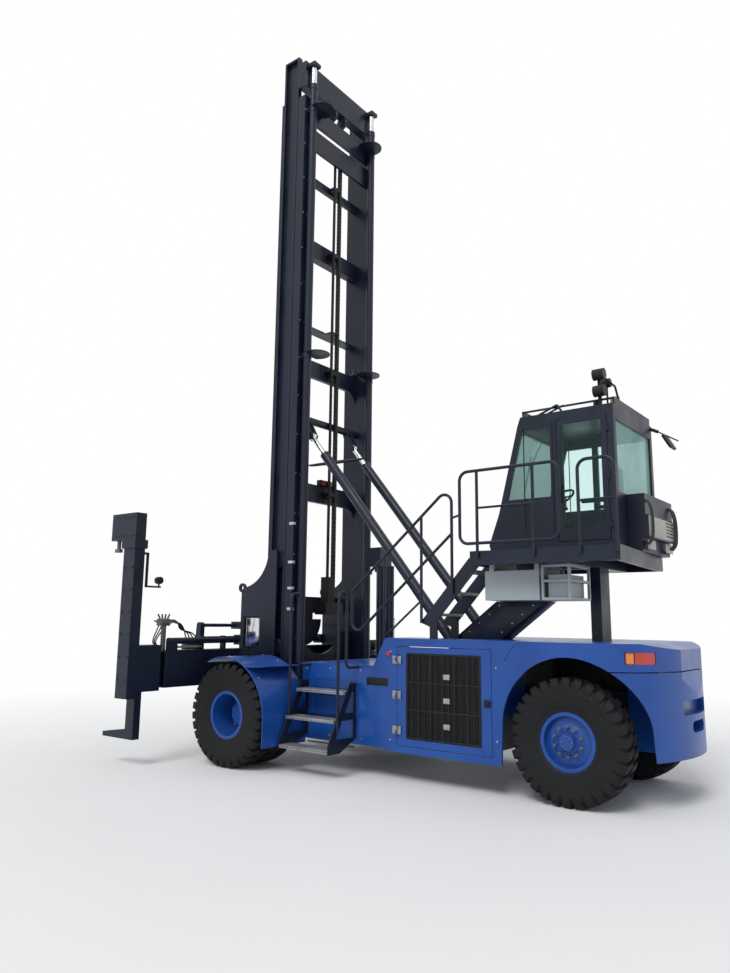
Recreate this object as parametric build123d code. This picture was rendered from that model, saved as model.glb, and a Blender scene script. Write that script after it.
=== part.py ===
"""Electric empty container handler: +X forwards, +Y left, +Z up, millimetres.

The origin is on the ground below the middle of the machine's length and width.
"""
import os
from math import asin, cos, pi, radians, sin, sqrt

from build123d import *

# Driving dimensions of the whole machine
WHEELBASE = 4500
REAR_OVERHANG = 1080
REAR_REACH = WHEELBASE + REAR_OVERHANG
FRONT_REACH = 1560
BODY_HALF_WIDTH = 1250
FRAME_GAP = 0.3
RUN_GAP = 6
OVERRUN = 20

FRONT_AXLE_X = (REAR_REACH - FRONT_REACH) / 2
REAR_AXLE_X = FRONT_AXLE_X - WHEELBASE
TAIL_X = FRONT_AXLE_X - REAR_REACH
NOSE_X = FRONT_AXLE_X + FRONT_REACH

# Tyres and rims
TYRE_RADIUS = 685
TYRE_HALF_WIDTH = 187
TYRE_BEAD_RADIUS = 305
TYRE_BEAD_HALF_WIDTH = 120
TYRE_BEAD_HEIGHT = 45
TYRE_SHOULDER_DROP = 45
TYRE_TREAD_HALF_WIDTH = 150
TYRE_SIDE_RADIUS = 510
RIM_WALL = 30
RIM_FLANGE_RADIUS = 345
RIM_FLANGE_WIDTH = 16
RIM_HALF_WIDTH = TYRE_BEAD_HALF_WIDTH + RIM_FLANGE_WIDTH + FRAME_GAP
DISC_THICKNESS = 40

# Twin front wheels on the drive axle
FRONT_OUTER_Y = 1862
FRONT_INNER_Y = 1432
FRONT_HUB_RADIUS = 215
FRONT_HUB_INNER_Y = 1196
FRONT_HUB_OUTER_Y = 1640
FRONT_CAP_RADIUS = 175
FRONT_CAP_OUTER_Y = 1770
FRONT_SPINDLE_RADIUS = 95
FRONT_SPINDLE_END_Y = 1420
AXLE_TUBE_RADIUS = 150
AXLE_BRAKE_RADIUS = 235
AXLE_BRAKE_INNER_Y = 1010
AXLE_BRAKE_OUTER_Y = 1190
AXLE_BOWL_RADIUS = 215
AXLE_BOWL_HALF_WIDTH = 190
AXLE_PAD_HALF_LENGTH = 120

# Steered rear wheels
REAR_WHEEL_Y = 1016
KINGPIN_Y = 766
KINGPIN_RADIUS = 35
KINGPIN_HEAD = 20
STEER_EYE_RADIUS = 78
STEER_EYE_HALF_HEIGHT = 85
STEER_BEAM_HALF_LENGTH = 110
STEER_BEAM_HALF_HEIGHT = 110
STEER_BEAM_END_Y = 560
STEER_BEAM_TIP_HALF_LENGTH = 60
KNUCKLE_PLATE = 35
KNUCKLE_WEB = 36
KNUCKLE_WEB_HALF_LENGTH = 75
REAR_SPINDLE_RADIUS = 60
REAR_SPINDLE_LENGTH = 130
REAR_HUB_RADIUS = 150
REAR_HUB_OUTER_Y = 1135
REAR_CAP_RADIUS = 85
REAR_CAP_LENGTH = 45
REAR_DISC_Y = 1060
STEER_CYLINDER_RADIUS = 60
STEER_CYLINDER_HALF_LENGTH = 330

# Main frame
RAIL_INNER_Y = 320
RAIL_WIDTH = 140
RAIL_BOTTOM = 860
RAIL_HEIGHT = 300
RAIL_FRONT = 20
CROSS_FRONT = -140
RAIL_REAR = 3560
SPINE_HALF_WIDTH = 120
SPINE_SHORT_OF_TAIL = 380
SPINE_REAR = REAR_REACH - SPINE_SHORT_OF_TAIL
CROSS_LENGTH = 110
SADDLE_HALF_LENGTH = 150
TILT_LUG_THICKNESS = 34
TILT_LUG_RADIUS = 85
MAST_LUG_RADIUS = 90
MAST_LUG_THICKNESS = 40
MAST_LUG_GAP = 80
MAST_LUG_Y = 560

# Mast: fixed uprights with the crossbars, and the lifting uprights in front of them
MAST_HEIGHT = 11430
MAST_TOP_DROP = 780
MAST_FIXED_TOP = MAST_HEIGHT - MAST_TOP_DROP
MAST_FOOT = 960
MAST_TILT_Z = 1080
MAST_TILT_X = 40
MAST_OUTER_Y = 930
MAST_REAR = -150
MAST_REAR_BOX = 150
MAST_BOX_INNER_Y = 790
MAST_WEB_REACH = 225
MAST_WEB_THICKNESS = 30
LIFT_REAR_GAP = 12
LIFT_DEPTH = 318
LIFT_FLANGE = 34
LIFT_FLANGE_WIDTH = 82
LIFT_WEB = 20
LIFT_FOOT = 1130
DOUBLER_THICKNESS = 42
DOUBLER_WIDTH = 60

# Crossbars between the fixed webs: top and depth as shares of the fixed mast's top
CROSSBAR_X = 60
CROSSBAR_LENGTH = 70
REAR_BAR_LENGTH = 50
# columns: height of the bar's top share, depth share
REAR_BAR_SHARES = (
    (0.9910, 0.0301),
    (0.9514, 0.0344),
)
# columns: height of the bar's top share, depth share, reach share of the web
CROSSBAR_SHARES = (
    (0.8874, 0.0116, 0.38),
    (0.7788, 0.0271, 0.69),
    (0.6347, 0.0022, 0.94),
)
# columns: height of the bar's top share, depth share, upper corner radius share, lower corner radius share
HAUNCH_BAR_SHARES = (
    (0.5803, 0.0263, 0.0180, 0.0240),
    (0.3869, 0.0269, 0.0, 0.0200),
)
TILT_TUBE_RADIUS = 60
TILT_TUBE_Z = 5137
TILT_TUBE_X = 28
BULKHEAD_TOP = 1790
BULKHEAD_THICKNESS = 40
BULKHEAD_NOTCH_RADIUS = 520
BULKHEAD_NOTCH_Z = 1960

# Lift cylinders behind the uprights
LIFT_CYLINDER_X = -222
LIFT_CYLINDER_Y = 800
LIFT_BARREL_RADIUS = 66
LIFT_BARREL_FOOT = 1100
LIFT_GLAND_RADIUS = 71
LIFT_GLAND_HEIGHT = 90
LIFT_ROD_RADIUS = 50
LIFT_ROD_SHOW = 330
LIFT_ROD_DEPTH = 9300
CLAMP_HEIGHT = 90
CLAMP_WIDTH = 62
CLAMP_Z = 6120
CLAMP_TOP_DROP = 215
SHIELD_RADIUS = 215
SHIELD_THICKNESS = 14
SHIELD_OFFSET = 136
SHIELD_BACK = 77

# Head beam of the lifting uprights
HEAD_DROP = 140
HEAD_DEPTH = 464
HEAD_REAR = -150
HEAD_END = 30
HEAD_ROD_DROP = 100
HEAD_WEB = 30
HEAD_FLANGE_THICKNESS = 25
HEAD_LUG_THICKNESS = 60
HEAD_LUG_HALF_WIDTH = 80
SHEAVE_RADIUS = 105
SHEAVE_WIDTH = 46
SHEAVE_Y = 130

# Pipes and energy chain on the fixed crossbars
PIPE_X = -60
PIPE_Y = 15
PIPE_RADIUS = 24
PIPE_BRACKET = 60
PIPE_TOP_SHARE = 0.939
PIPE_FOOT = 2640
PIPE_BOX_HALF_WIDTH = 78
PIPE_BOX_FOOT = 2240
MANIFOLD_HALF_WIDTH = 210
MANIFOLD_HEIGHT = 190
MANIFOLD_LENGTH = 150
CHAIN_WIDTH = 55
CHAIN_THICKNESS = 50
CHAIN_Y = -120

# Tilt cylinders
TILT_BASE_X = -2750
TILT_BASE_Z = 1620
TILT_EYE_X = -120
TILT_EYE_Z = 4840
TILT_Y = 520
TILT_PIN_RADIUS = 30
TILT_EYE_RADIUS = 62
TILT_EYE_WIDTH = 70
TILT_EYE_PLAY = 14
TILT_BARREL_RADIUS = 72
TILT_BARREL_START = 120
TILT_ROD_SHOW = 422
TILT_ROD_ROOM = 230
TILT_ROD_RADIUS = 36
TILT_ROD_DEPTH = 700

# Carriage
CARRIAGE_PLATE_Y = 950
CARRIAGE_PLATE = 40
CARRIAGE_REAR = 120
CARRIAGE_FRONT = 860
CARRIAGE_FOOT = 1230
CARRIAGE_TOP = 3010
CARRIAGE_SWEEP = 560
CARRIAGE_EYE_RADIUS = 70
CARRIAGE_BEAM_REAR = 430
CARRIAGE_BEAM_LENGTH = 170
CARRIAGE_BEAM_DEPTH = 260
CARRIAGE_LOW_BEAM_FOOT = 1300
CARRIAGE_HIGH_BEAM_FOOT = 2080
ROLLER_WIDTH = 52
ROLLER_PIN_RADIUS = 45
ROLLER_LOW_Z = 1560
ROLLER_HIGH_Z = 2850
SLEEVE_WALL = 30
SLEEVE_WIDTH = 110
HOSE_TRAY_RADIUS = 420
HOSE_TRAY_THICKNESS = 60
HOSE_TRAY_TOP = 1980

# Spreader: side-shift beam on the carriage, telescopic arms and twistlocks
BEAM_REAR = 880
BEAM_LENGTH = 215
BEAM_FOOT = 1010
BEAM_HEIGHT = 510
BEAM_HALF_LENGTH = 2380
BEAM_WALL = 22
BACK_TUBE_RADIUS = 45
BACK_TUBE_Z = 1650
ARM_GAP = 6
ARM_WALL = 16
ARM_INNER_END = 150
POST_Y = 2927
POST_LENGTH = 250
POST_WIDTH = 165
POST_FOOT = 900
POST_REAR = 850
HEAD_BOX_FOOT = 3033
HEAD_BOX_HEIGHT = 373
HEAD_BOX_LENGTH = 560
COLLAR_HEIGHT = 120
COLLAR_RIM = 25
HOUSING_INNER_Y = 2480
HOUSING_FOOT = 980
HOUSING_TOP = 1600
HOUSING_LENGTH = 230
LEG_FOOT = 360
LEG_Y = 2790
LEG_LENGTH = 170
LEG_WIDTH = 110
FOOT_HEIGHT = 130
FOOT_TIP_HEIGHT = 60
LOCK_SHAFT_RADIUS = 28
LOCK_SHAFT_LENGTH = 110
LOCK_HEAD_LENGTH = 104
LOCK_HEAD_WIDTH = 56
LOCK_HEAD_HEIGHT = 50
LOCK_REACH = 490
END_BAND_LENGTH = 70
END_BAND_RIM = 24
SHIFT_LUG_Y = 1650
SHIFT_LUG = 80
SHIFT_ROD_RADIUS = 26
SHIFT_BARREL_RADIUS = 45
SHIFT_BARREL_END_Y = -800
SHIFT_ROD_END_Y = 60
SHIFT_Z = 1870

# Bodywork
SKIN = 30
DECK_TOP = 1390
DECK_FRONT = -700
DECK_REAR = -1930
SKIRT_FOOT = 388
HOOD_TOP = 1750
HOOD_SLOPE_X = -2110
PANEL_FOOT = 355
ARCH_BEHIND = 60
ARCH_Z = 800
ARCH_RADIUS = 790
ARCH_FLARE = 20
WELL_FRONT = -3675
HOOD_WELL_REAR = -2960
HOOD_WELL_HALF_WIDTH = 625
DOOR_FRONT = -2300
DOOR_REAR = -3640
DOOR_FOOT = 440
DOOR_TOP = 1650
DOOR_GAP = 6
DOOR_GRILLE_FRONT = -2440
DOOR_GRILLE_REAR = -3500
DOOR_GRILLE_FOOT = 530
DOOR_GRILLE_TOP = 1570
GRILLE_DEPTH = 14
GRILLE_RIB = 22
GRILLE_RIB_COUNT = 13
COVER_FRONT = -3808
COVER_LIP = -4013
COVER_FRONT_FOOT = 1522
# Curve of the seam between hood and rear cover
# columns: share of the way back to the lip, share of the way up to the top
COVER_SEAM_SHARES = (
    (0.21, 0.33),
    (0.58, 0.76),
    (0.93, 0.935),
)
COVER_SEAM = 6
COVER_WALL = 45
COVER_SET_BACK = 45
COVER_DROP = 65
COVER_DROP_LENGTH = 290
PACK_FRONT = -2190
PACK_REAR = -3560
PACK_INNER_Y = 480
PACK_OUTER_Y = 1150
PACK_FOOT = 460
PACK_TOP = 1600
MOTOR_FRONT = -330
MOTOR_REAR = -1250
MOTOR_HALF_WIDTH = 250
MOTOR_FOOT = 480
MOTOR_TOP = 940

# Counterweight
WEIGHT_FOOT = 525
TAIL_BOW_RADIUS = 1900
WEIGHT_CORNER = 766
WEIGHT_SEAM = 1450
WEIGHT_STEP = 14
WEIGHT_CENTRE_BEHIND = 350
WEIGHT_CENTRE_HALF_WIDTH = 190
SHOULDER_FOOT = 1225
SHOULDER_REACH = 150
SHOULDER_DEPTH = 45
POCKET_HALF_WIDTH = 410
POCKET_FOOT = 980
POCKET_TOP = 1140
POCKET_DEPTH = 120
TOW_SLOT_HALF_WIDTH = 220
TOW_SLOT_HALF_HEIGHT = 63
TOW_SLOT_Z = 845
TOW_SLOT_DEPTH = 180
TOW_PIN_RADIUS = 26
TOW_PIN_AHEAD = 115
LAMP_AHEAD = 190
LAMP_LENGTH = 240
LAMP_HEIGHT = 126
LAMP_DEPTH = 16
LAMP_TOP = 1660
LAMP_RIM = 4

# Front fenders
FENDER_RADIUS = 775
FENDER_SHEET = 12
FENDER_OUTER_Y = 2080
FENDER_START_DEG = 64
FENDER_TAIL_FOOT = 330
FENDER_SHELF_Z = 1337
FENDER_SHELF_Y = 1950

# Steps beside the deck
STEP_FRONT = -820
STEP_REAR = -1640
STEP_SIDE = 14
STEP_TREAD = 40
STEP_TOP = 1160
STEP_TOP_OUTER_Y = 1390
STEP_TOE_OUTER_Y = 1810
STEP_TOE_Z = 420
STEP_FOOT = 310
STEP_HEEL_Z = 460
STEP_STRIP = 110
STEP_LEG = 60
STEP_TREAD_LENGTH = 230
# height of each tread as a share of the deck's top
STEP_HEIGHT_SHARES = (0.262, 0.518, 0.763)
# columns: low edge and high edge of each window as shares of the side plate's height
STEP_WINDOW_SHARES = (
    (0.200, 0.460),
    (0.565, 0.870),
)
GRAB_OUTER_Y = 1660
GRAB_INNER_Y = 1500
GRAB_TOP = 2320
GRAB_FOOT = 560
GRAB_ANCHOR_Z = 1365

# Stairs to the platform
STAIR_NEAR_Y = 1150
STAIR_FAR_Y = 640
STAIR_PLATE = 20
STAIR_FOOT_X = -2601
STAIR_FOOT_Z = 1949
STAIR_SLOPE_SHARE = 1.1
STAIR_DEPTH = 250
STAIR_FOOT_LENGTH = 170
STAIR_SHOE_BACK = 140
STAIR_TREAD_LENGTH = 210
STAIR_TREAD = 35
# height of each tread as a share of the rise from hood to platform
STAIR_HEIGHT_SHARES = (0.30, 0.55, 0.80)
STAIR_SHOE_LENGTH = 110
STAIR_LEG_TOP = 2010
STAIR_RAIL_TOP = 3672
STAIR_RAIL_FRONT = -1510
STAIR_RAIL_FRONT_TOP = 2350
STAIR_RAIL_FRONT_FOOT = 1709
STAIR_RAIL_MID = 3046
STAIR_POST_REAR = -3085
STAIR_POST_REAR_FOOT = 2300
STAIR_POST_FRONT = -2632
STAIR_POST_FRONT_FOOT = 1942
STAIR_POST_LOW = -2047
STAIR_LOW_RAIL_TOP = 2222

# Platform, its column and the rails
PLATFORM_FRONT = -3440
PLATFORM_REAR = -5250
PLATFORM_EDGE_Y = 1366
PLATFORM_FAR_Y = -760
PLATFORM_TOP = 2795
PLATFORM_DEPTH = 170
PLATFORM_PLATE = 20
PLATFORM_BEAM = 60
PLATFORM_CORNER = 200
COLUMN_FRONT = -4430
COLUMN_REAR = -4565
COLUMN_HALF_WIDTH = 150
RAIL_TUBE_RADIUS = 19
RAIL_POST_RADIUS = RAIL_TUBE_RADIUS - 2 * FRAME_GAP
RAIL_BEND = 110
HOOP_FRONT = -3319
HOOP_REAR = -4595
HOOP_TOP = 3762
HOOP_LOW = 2885
HOOP_MID = 3307
HOOP_POST_FRONT = -3556
HOOP_POST_REAR = -4280
REAR_HOOP_FRONT = -4820
REAR_HOOP_REAR = -5228
REAR_HOOP_TOP = 3745
REAR_HOOP_MID = 3291
RAIL_LINK_Z = 3240
RAIL_LINK_RADIUS = 14

# Cab
CAB_FLOOR = 2865
CAB_REAR = -5011
CAB_DOOR_REAR = -4930
CAB_B_POST = -4250
CAB_NOSE_X = -3350
CAB_NOSE_FOOT = 2922
CAB_SILL_X = -3495
CAB_SILL_Z = 3312
CAB_BROW_X = -3780
CAB_BROW_Z = 4426
CAB_ROOF_Z = 4530
CAB_HALF_WIDTH = 710
CAB_WALL = 40
CAB_FLOOR_PLATE = 50
CAB_ROOF_PLATE = 60
CAB_POST = 80
CAB_WINDOW_Z = 3480
GLASS = 8
DOOR_LEAF_GAP = 8
DOOR_FRAME = 70
DOOR_KICK = 160
DOOR_HINGE_RADIUS = 14
DOOR_HINGE_PIN = 7
DOOR_HINGE_LENGTH = 90
# height of each hinge as a share of the door's opening
DOOR_HINGE_SHARES = (0.12, 0.50, 0.88)

# Seat and console
SEAT_X = -4560
SEAT_WIDTH = 480
SEAT_LENGTH = 470
SEAT_CUSHION = 110
SEAT_TOP = 3350
SEAT_BACK_HEIGHT = 640
SEAT_BACK = 110
SEAT_BASE_WIDTH = 380
HEADREST_WIDTH = 260
HEADREST_HEIGHT = 190
CONSOLE_X = -3900
CONSOLE_LENGTH = 220
CONSOLE_WIDTH = 260
CONSOLE_TOP = 3420
WHEEL_RADIUS = 190
WHEEL_TUBE = 15

# Roof guard, lamps, mirrors and the units behind the cab
GUARD_BAR = 22
GUARD_RISE = 90
GUARD_COUNT = 5
LAMP_HEAD_RADIUS = 68
LAMP_HEAD_LENGTH = 90
LAMP_STALK_RADIUS = 18
BEACON_RADIUS = 60
BEACON_HEIGHT = 130
MIRROR_WIDTH = 300
MIRROR_HEIGHT = 437
MIRROR_DEPTH = 45
MIRROR_STAND = 112
MIRROR_BACK = 60
CABINET_FRONT = -3495
CABINET_REAR = -4200
CABINET_NEAR_Y = 1100
CABINET_FAR_Y = 500
CABINET_FOOT = 2220
CABINET_TOP = 2570
CABINET_HANGER = 60
RACK_FRONT = -4225
RACK_REAR = -4577
RACK_BAR = 30
UNIT_TOP_DEPTH = 200
UNIT_MIDDLE_DEPTH = 235
UNIT_LOW_DEPTH = 150
UNIT_MIDDLE_TOP = 3230
UNIT_LOW_TOP = 2960
ACCUMULATOR_RADIUS = 62
ACCUMULATOR_TOP = 2830
ACCUMULATOR_X = -640
ACCUMULATOR_Y = -640
ACCUMULATOR_SPACING = 187
ACCUMULATOR_BOX_FRONT = -415
ACCUMULATOR_BOX_HEIGHT = 295


def ahead(distance):
    """X of a place given ahead of the front axle."""
    return FRONT_AXLE_X + distance


def block(x, y, z):
    """Box between pairs of limits, in any order."""
    low, high = zip(*(sorted(pair) for pair in (x, y, z)))
    middle = [(a + b) / 2 for a, b in zip(low, high)]
    return Pos(*middle) * Box(*(b - a for a, b in zip(low, high)))


def side_plate(outline, y_low, y_high):
    """Outline of (x, z) points, as a plate between two Y values."""
    face = make_face(Polyline(*((x, y_low, z) for x, z in outline), close=True))
    return extrude(face, amount=y_high - y_low, dir=(0, 1, 0))


def cross_plate(outline, x_low, x_high):
    """Outline of (y, z) points, as a plate between two X values."""
    face = make_face(Polyline(*((x_low, y, z) for y, z in outline), close=True))
    return extrude(face, amount=x_high - x_low, dir=(1, 0, 0))


def flat_plate(outline, z_low, z_high):
    """Outline of (x, y) points, as a plate between two Z values."""
    face = make_face(Polyline(*((x, y, z_low) for x, y in outline), close=True))
    return extrude(face, amount=z_high - z_low, dir=(0, 0, 1))


def bar(start, end, radius):
    """Round bar from one point to another."""
    run = Vector(*end) - Vector(*start)
    return extrude(Plane(origin=start, z_dir=run) * Circle(radius), amount=run.length)


def pipe(points, radius, bend):
    """Round pipe along a path with bent corners."""
    path = FilletPolyline(*points, radius=bend)
    return sweep(Plane(origin=path @ 0, z_dir=path % 0) * Circle(radius), path=path)


def turned(outline, x, y, z):
    """Outline of (radius, distance along Y) points turned about a Y axis."""
    face = make_face(Polyline(*((x + r, y + along, z) for r, along in outline), close=True))
    return revolve(face, Axis((x, y, z), (0, 1, 0)))


def mirrored(shape):
    """The same shape on the other side of the machine."""
    return mirror(shape, about=Plane.XZ)


def both(shape):
    """A shape and its twin on the other side."""
    return [shape, mirrored(shape)]


def joined(*shapes):
    """One shape of pieces that meet."""
    return shapes[0] + list(shapes[1:])


def write(name, *shapes):
    """Keep one node as a file of its own."""
    solids = []
    for shape in shapes:
        group = shape if isinstance(shape, (list, tuple)) else [shape]
        for piece in group:
            solids.extend(piece.solids())
    node = solids[0] if len(solids) == 1 else Compound(children=solids)
    node.label = name
    export_step(node, f"parts/{name}.step")


def tyre(x, y, z):
    """One tyre, its beads on the rim."""
    bead_top = TYRE_BEAD_RADIUS + TYRE_BEAD_HEIGHT
    shoulder = TYRE_RADIUS - TYRE_SHOULDER_DROP
    points = [
        (TYRE_BEAD_RADIUS + FRAME_GAP, TYRE_BEAD_HALF_WIDTH),
        (bead_top, TYRE_BEAD_HALF_WIDTH),
        (TYRE_SIDE_RADIUS, TYRE_HALF_WIDTH),
        (shoulder, TYRE_HALF_WIDTH),
        (TYRE_RADIUS, TYRE_TREAD_HALF_WIDTH),
    ]
    mirror_points = [(radius, -along) for radius, along in reversed(points)]
    return turned(points + mirror_points, x, y, z)


def rim_outline(centre, inner, outer):
    """Barrel of a rim with two flanges, as (radius, along) points."""
    seat = TYRE_BEAD_RADIUS
    left = centre - RIM_HALF_WIDTH
    right = centre + RIM_HALF_WIDTH
    return [
        (inner, left),
        (outer, left),
        (outer, left + RIM_FLANGE_WIDTH),
        (seat, left + RIM_FLANGE_WIDTH),
        (seat, right - RIM_FLANGE_WIDTH),
        (outer, right - RIM_FLANGE_WIDTH),
        (outer, right),
        (inner, right),
    ]


def front_rims():
    """Left twin rims with their spacer, disc, hub and cap."""
    x, z = FRONT_AXLE_X, TYRE_RADIUS
    inner = TYRE_BEAD_RADIUS - RIM_WALL
    parts = [turned(rim_outline(y, inner, RIM_FLANGE_RADIUS), x, 0, z) for y in (FRONT_INNER_Y, FRONT_OUTER_Y)]
    spacer = [(inner, FRONT_INNER_Y), (TYRE_BEAD_RADIUS, FRONT_INNER_Y)]
    spacer += [(TYRE_BEAD_RADIUS, FRONT_OUTER_Y), (inner, FRONT_OUTER_Y)]
    parts.append(turned(spacer, x, 0, z))
    bore = FRONT_SPINDLE_RADIUS + FRAME_GAP
    disc_inner_y = FRONT_HUB_OUTER_Y - DISC_THICKNESS
    hub = [
        (bore, FRONT_HUB_INNER_Y),
        (FRONT_HUB_RADIUS, FRONT_HUB_INNER_Y),
        (FRONT_HUB_RADIUS, disc_inner_y),
        (inner + RIM_WALL / 2, disc_inner_y),
        (inner + RIM_WALL / 2, FRONT_HUB_OUTER_Y),
        (FRONT_CAP_RADIUS, FRONT_HUB_OUTER_Y),
        (FRONT_CAP_RADIUS, FRONT_CAP_OUTER_Y - DISC_THICKNESS),
        (FRONT_CAP_RADIUS - DISC_THICKNESS, FRONT_CAP_OUTER_Y),
        (0, FRONT_CAP_OUTER_Y),
        (0, FRONT_SPINDLE_END_Y + RUN_GAP),
        (bore, FRONT_SPINDLE_END_Y + RUN_GAP),
    ]
    parts.append(turned(hub, x, 0, z))
    return joined(*parts)


def rear_rim():
    """Left rear rim with its disc, hub and cap."""
    x, z = REAR_AXLE_X, TYRE_RADIUS
    inner = TYRE_BEAD_RADIUS - RIM_WALL
    rim = turned(rim_outline(REAR_WHEEL_Y, inner, RIM_FLANGE_RADIUS), x, 0, z)
    bore = REAR_SPINDLE_RADIUS + FRAME_GAP
    hub_inner_y = KINGPIN_Y + STEER_EYE_RADIUS + KNUCKLE_WEB + 2 * RUN_GAP
    bore_end = hub_inner_y + REAR_SPINDLE_LENGTH
    hub = [
        (bore, hub_inner_y),
        (REAR_HUB_RADIUS, hub_inner_y),
        (REAR_HUB_RADIUS, REAR_DISC_Y),
        (inner + RIM_WALL / 2, REAR_DISC_Y - DISC_THICKNESS / 2),
        (inner + RIM_WALL / 2, REAR_DISC_Y + DISC_THICKNESS / 2),
        (REAR_HUB_RADIUS + DISC_THICKNESS, REAR_DISC_Y + DISC_THICKNESS),
        (REAR_HUB_RADIUS - DISC_THICKNESS, REAR_HUB_OUTER_Y),
        (REAR_CAP_RADIUS, REAR_HUB_OUTER_Y),
        (REAR_CAP_RADIUS, REAR_HUB_OUTER_Y + REAR_CAP_LENGTH),
        (0, REAR_HUB_OUTER_Y + REAR_CAP_LENGTH),
        (0, bore_end),
        (bore, bore_end),
    ]
    return joined(rim, turned(hub, x, 0, z))


def wheels():
    """Twin wheels in front, single steered wheels behind."""
    twin = [tyre(FRONT_AXLE_X, y, TYRE_RADIUS) for y in (FRONT_INNER_Y, FRONT_OUTER_Y)]
    single = tyre(REAR_AXLE_X, REAR_WHEEL_Y, TYRE_RADIUS)
    rims = front_rims()
    rim = rear_rim()
    write("front_tyres_left", twin)
    write("front_tyres_right", [mirrored(each) for each in twin])
    write("front_rims_left", rims)
    write("front_rims_right", mirrored(rims))
    write("rear_tyre_left", single)
    write("rear_tyre_right", mirrored(single))
    write("rear_rim_left", rim)
    write("rear_rim_right", mirrored(rim))


def axles():
    """Drive axle, steer axle and the two knuckles."""
    x, z = FRONT_AXLE_X, TYRE_RADIUS
    half = [
        (0, 0),
        (AXLE_BOWL_RADIUS, 0),
        (AXLE_BOWL_RADIUS, AXLE_BOWL_HALF_WIDTH / 2),
        (AXLE_TUBE_RADIUS, AXLE_BOWL_HALF_WIDTH + AXLE_TUBE_RADIUS),
        (AXLE_TUBE_RADIUS, AXLE_BRAKE_INNER_Y),
        (AXLE_BRAKE_RADIUS, AXLE_BRAKE_INNER_Y),
        (AXLE_BRAKE_RADIUS, AXLE_BRAKE_OUTER_Y),
        (FRONT_SPINDLE_RADIUS, AXLE_BRAKE_OUTER_Y),
        (FRONT_SPINDLE_RADIUS, FRONT_SPINDLE_END_Y),
        (0, FRONT_SPINDLE_END_Y),
    ]
    left = turned(half, x, 0, z)
    pads = both(block(
        (x - AXLE_PAD_HALF_LENGTH, x + AXLE_PAD_HALF_LENGTH),
        (RAIL_INNER_Y, RAIL_INNER_Y + RAIL_WIDTH),
        (z, RAIL_BOTTOM),
    ))
    write("front_axle", joined(left, mirrored(left), *pads))

    x = REAR_AXLE_X
    plan = [
        (x - STEER_BEAM_HALF_LENGTH, 0),
        (x - STEER_BEAM_HALF_LENGTH, STEER_BEAM_END_Y),
        (x - STEER_BEAM_TIP_HALF_LENGTH, KINGPIN_Y),
        (x + STEER_BEAM_TIP_HALF_LENGTH, KINGPIN_Y),
        (x + STEER_BEAM_HALF_LENGTH, STEER_BEAM_END_Y),
        (x + STEER_BEAM_HALF_LENGTH, 0),
    ]
    arm = flat_plate(plan, z - STEER_EYE_HALF_HEIGHT, z + STEER_EYE_HALF_HEIGHT)
    middle = block(
        (x - STEER_BEAM_HALF_LENGTH, x + STEER_BEAM_HALF_LENGTH),
        (0, STEER_BEAM_END_Y),
        (z - STEER_BEAM_HALF_HEIGHT, z + STEER_BEAM_HALF_HEIGHT),
    )
    eye_low = (x, KINGPIN_Y, z - STEER_EYE_HALF_HEIGHT)
    eye_high = (x, KINGPIN_Y, z + STEER_EYE_HALF_HEIGHT)
    eye = bar(eye_low, eye_high, STEER_EYE_RADIUS)
    bore = bar(eye_low, eye_high, KINGPIN_RADIUS + FRAME_GAP)
    side = joined(arm, middle, eye) - bore
    saddle = block(
        (x - SADDLE_HALF_LENGTH, x + SADDLE_HALF_LENGTH),
        (-SPINE_HALF_WIDTH, SPINE_HALF_WIDTH),
        (z, RAIL_BOTTOM),
    )
    cylinder_x = x - STEER_BEAM_HALF_LENGTH - STEER_CYLINDER_RADIUS / 2
    cylinder = bar(
        (cylinder_x, -STEER_CYLINDER_HALF_LENGTH, z),
        (cylinder_x, STEER_CYLINDER_HALF_LENGTH, z),
        STEER_CYLINDER_RADIUS,
    )
    write("rear_axle", joined(side, mirrored(side), saddle, cylinder))

    plate_low = STEER_EYE_HALF_HEIGHT + RUN_GAP
    plate_high = plate_low + KNUCKLE_PLATE
    web_y = KINGPIN_Y + STEER_EYE_RADIUS + RUN_GAP
    pieces = [bar((x, KINGPIN_Y, z - plate_high - KINGPIN_HEAD), (x, KINGPIN_Y, z + plate_high + KINGPIN_HEAD),
                  KINGPIN_RADIUS)]
    for low, high in ((plate_low, plate_high), (-plate_high, -plate_low)):
        pieces.append(bar((x, KINGPIN_Y, z + low), (x, KINGPIN_Y, z + high), STEER_EYE_RADIUS))
        pieces.append(block(
            (x - STEER_BEAM_TIP_HALF_LENGTH, x + STEER_BEAM_TIP_HALF_LENGTH),
            (KINGPIN_Y, web_y + KNUCKLE_WEB),
            (z + low, z + high),
        ))
    pieces.append(block(
        (x - KNUCKLE_WEB_HALF_LENGTH, x + KNUCKLE_WEB_HALF_LENGTH),
        (web_y, web_y + KNUCKLE_WEB),
        (z - plate_high, z + plate_high),
    ))
    spindle_end = web_y + KNUCKLE_WEB + REAR_SPINDLE_LENGTH
    pieces.append(bar((x, web_y, z), (x, spindle_end, z), REAR_SPINDLE_RADIUS))
    knuckle = joined(*pieces)
    write("knuckle_left", knuckle)
    write("knuckle_right", mirrored(knuckle))


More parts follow.
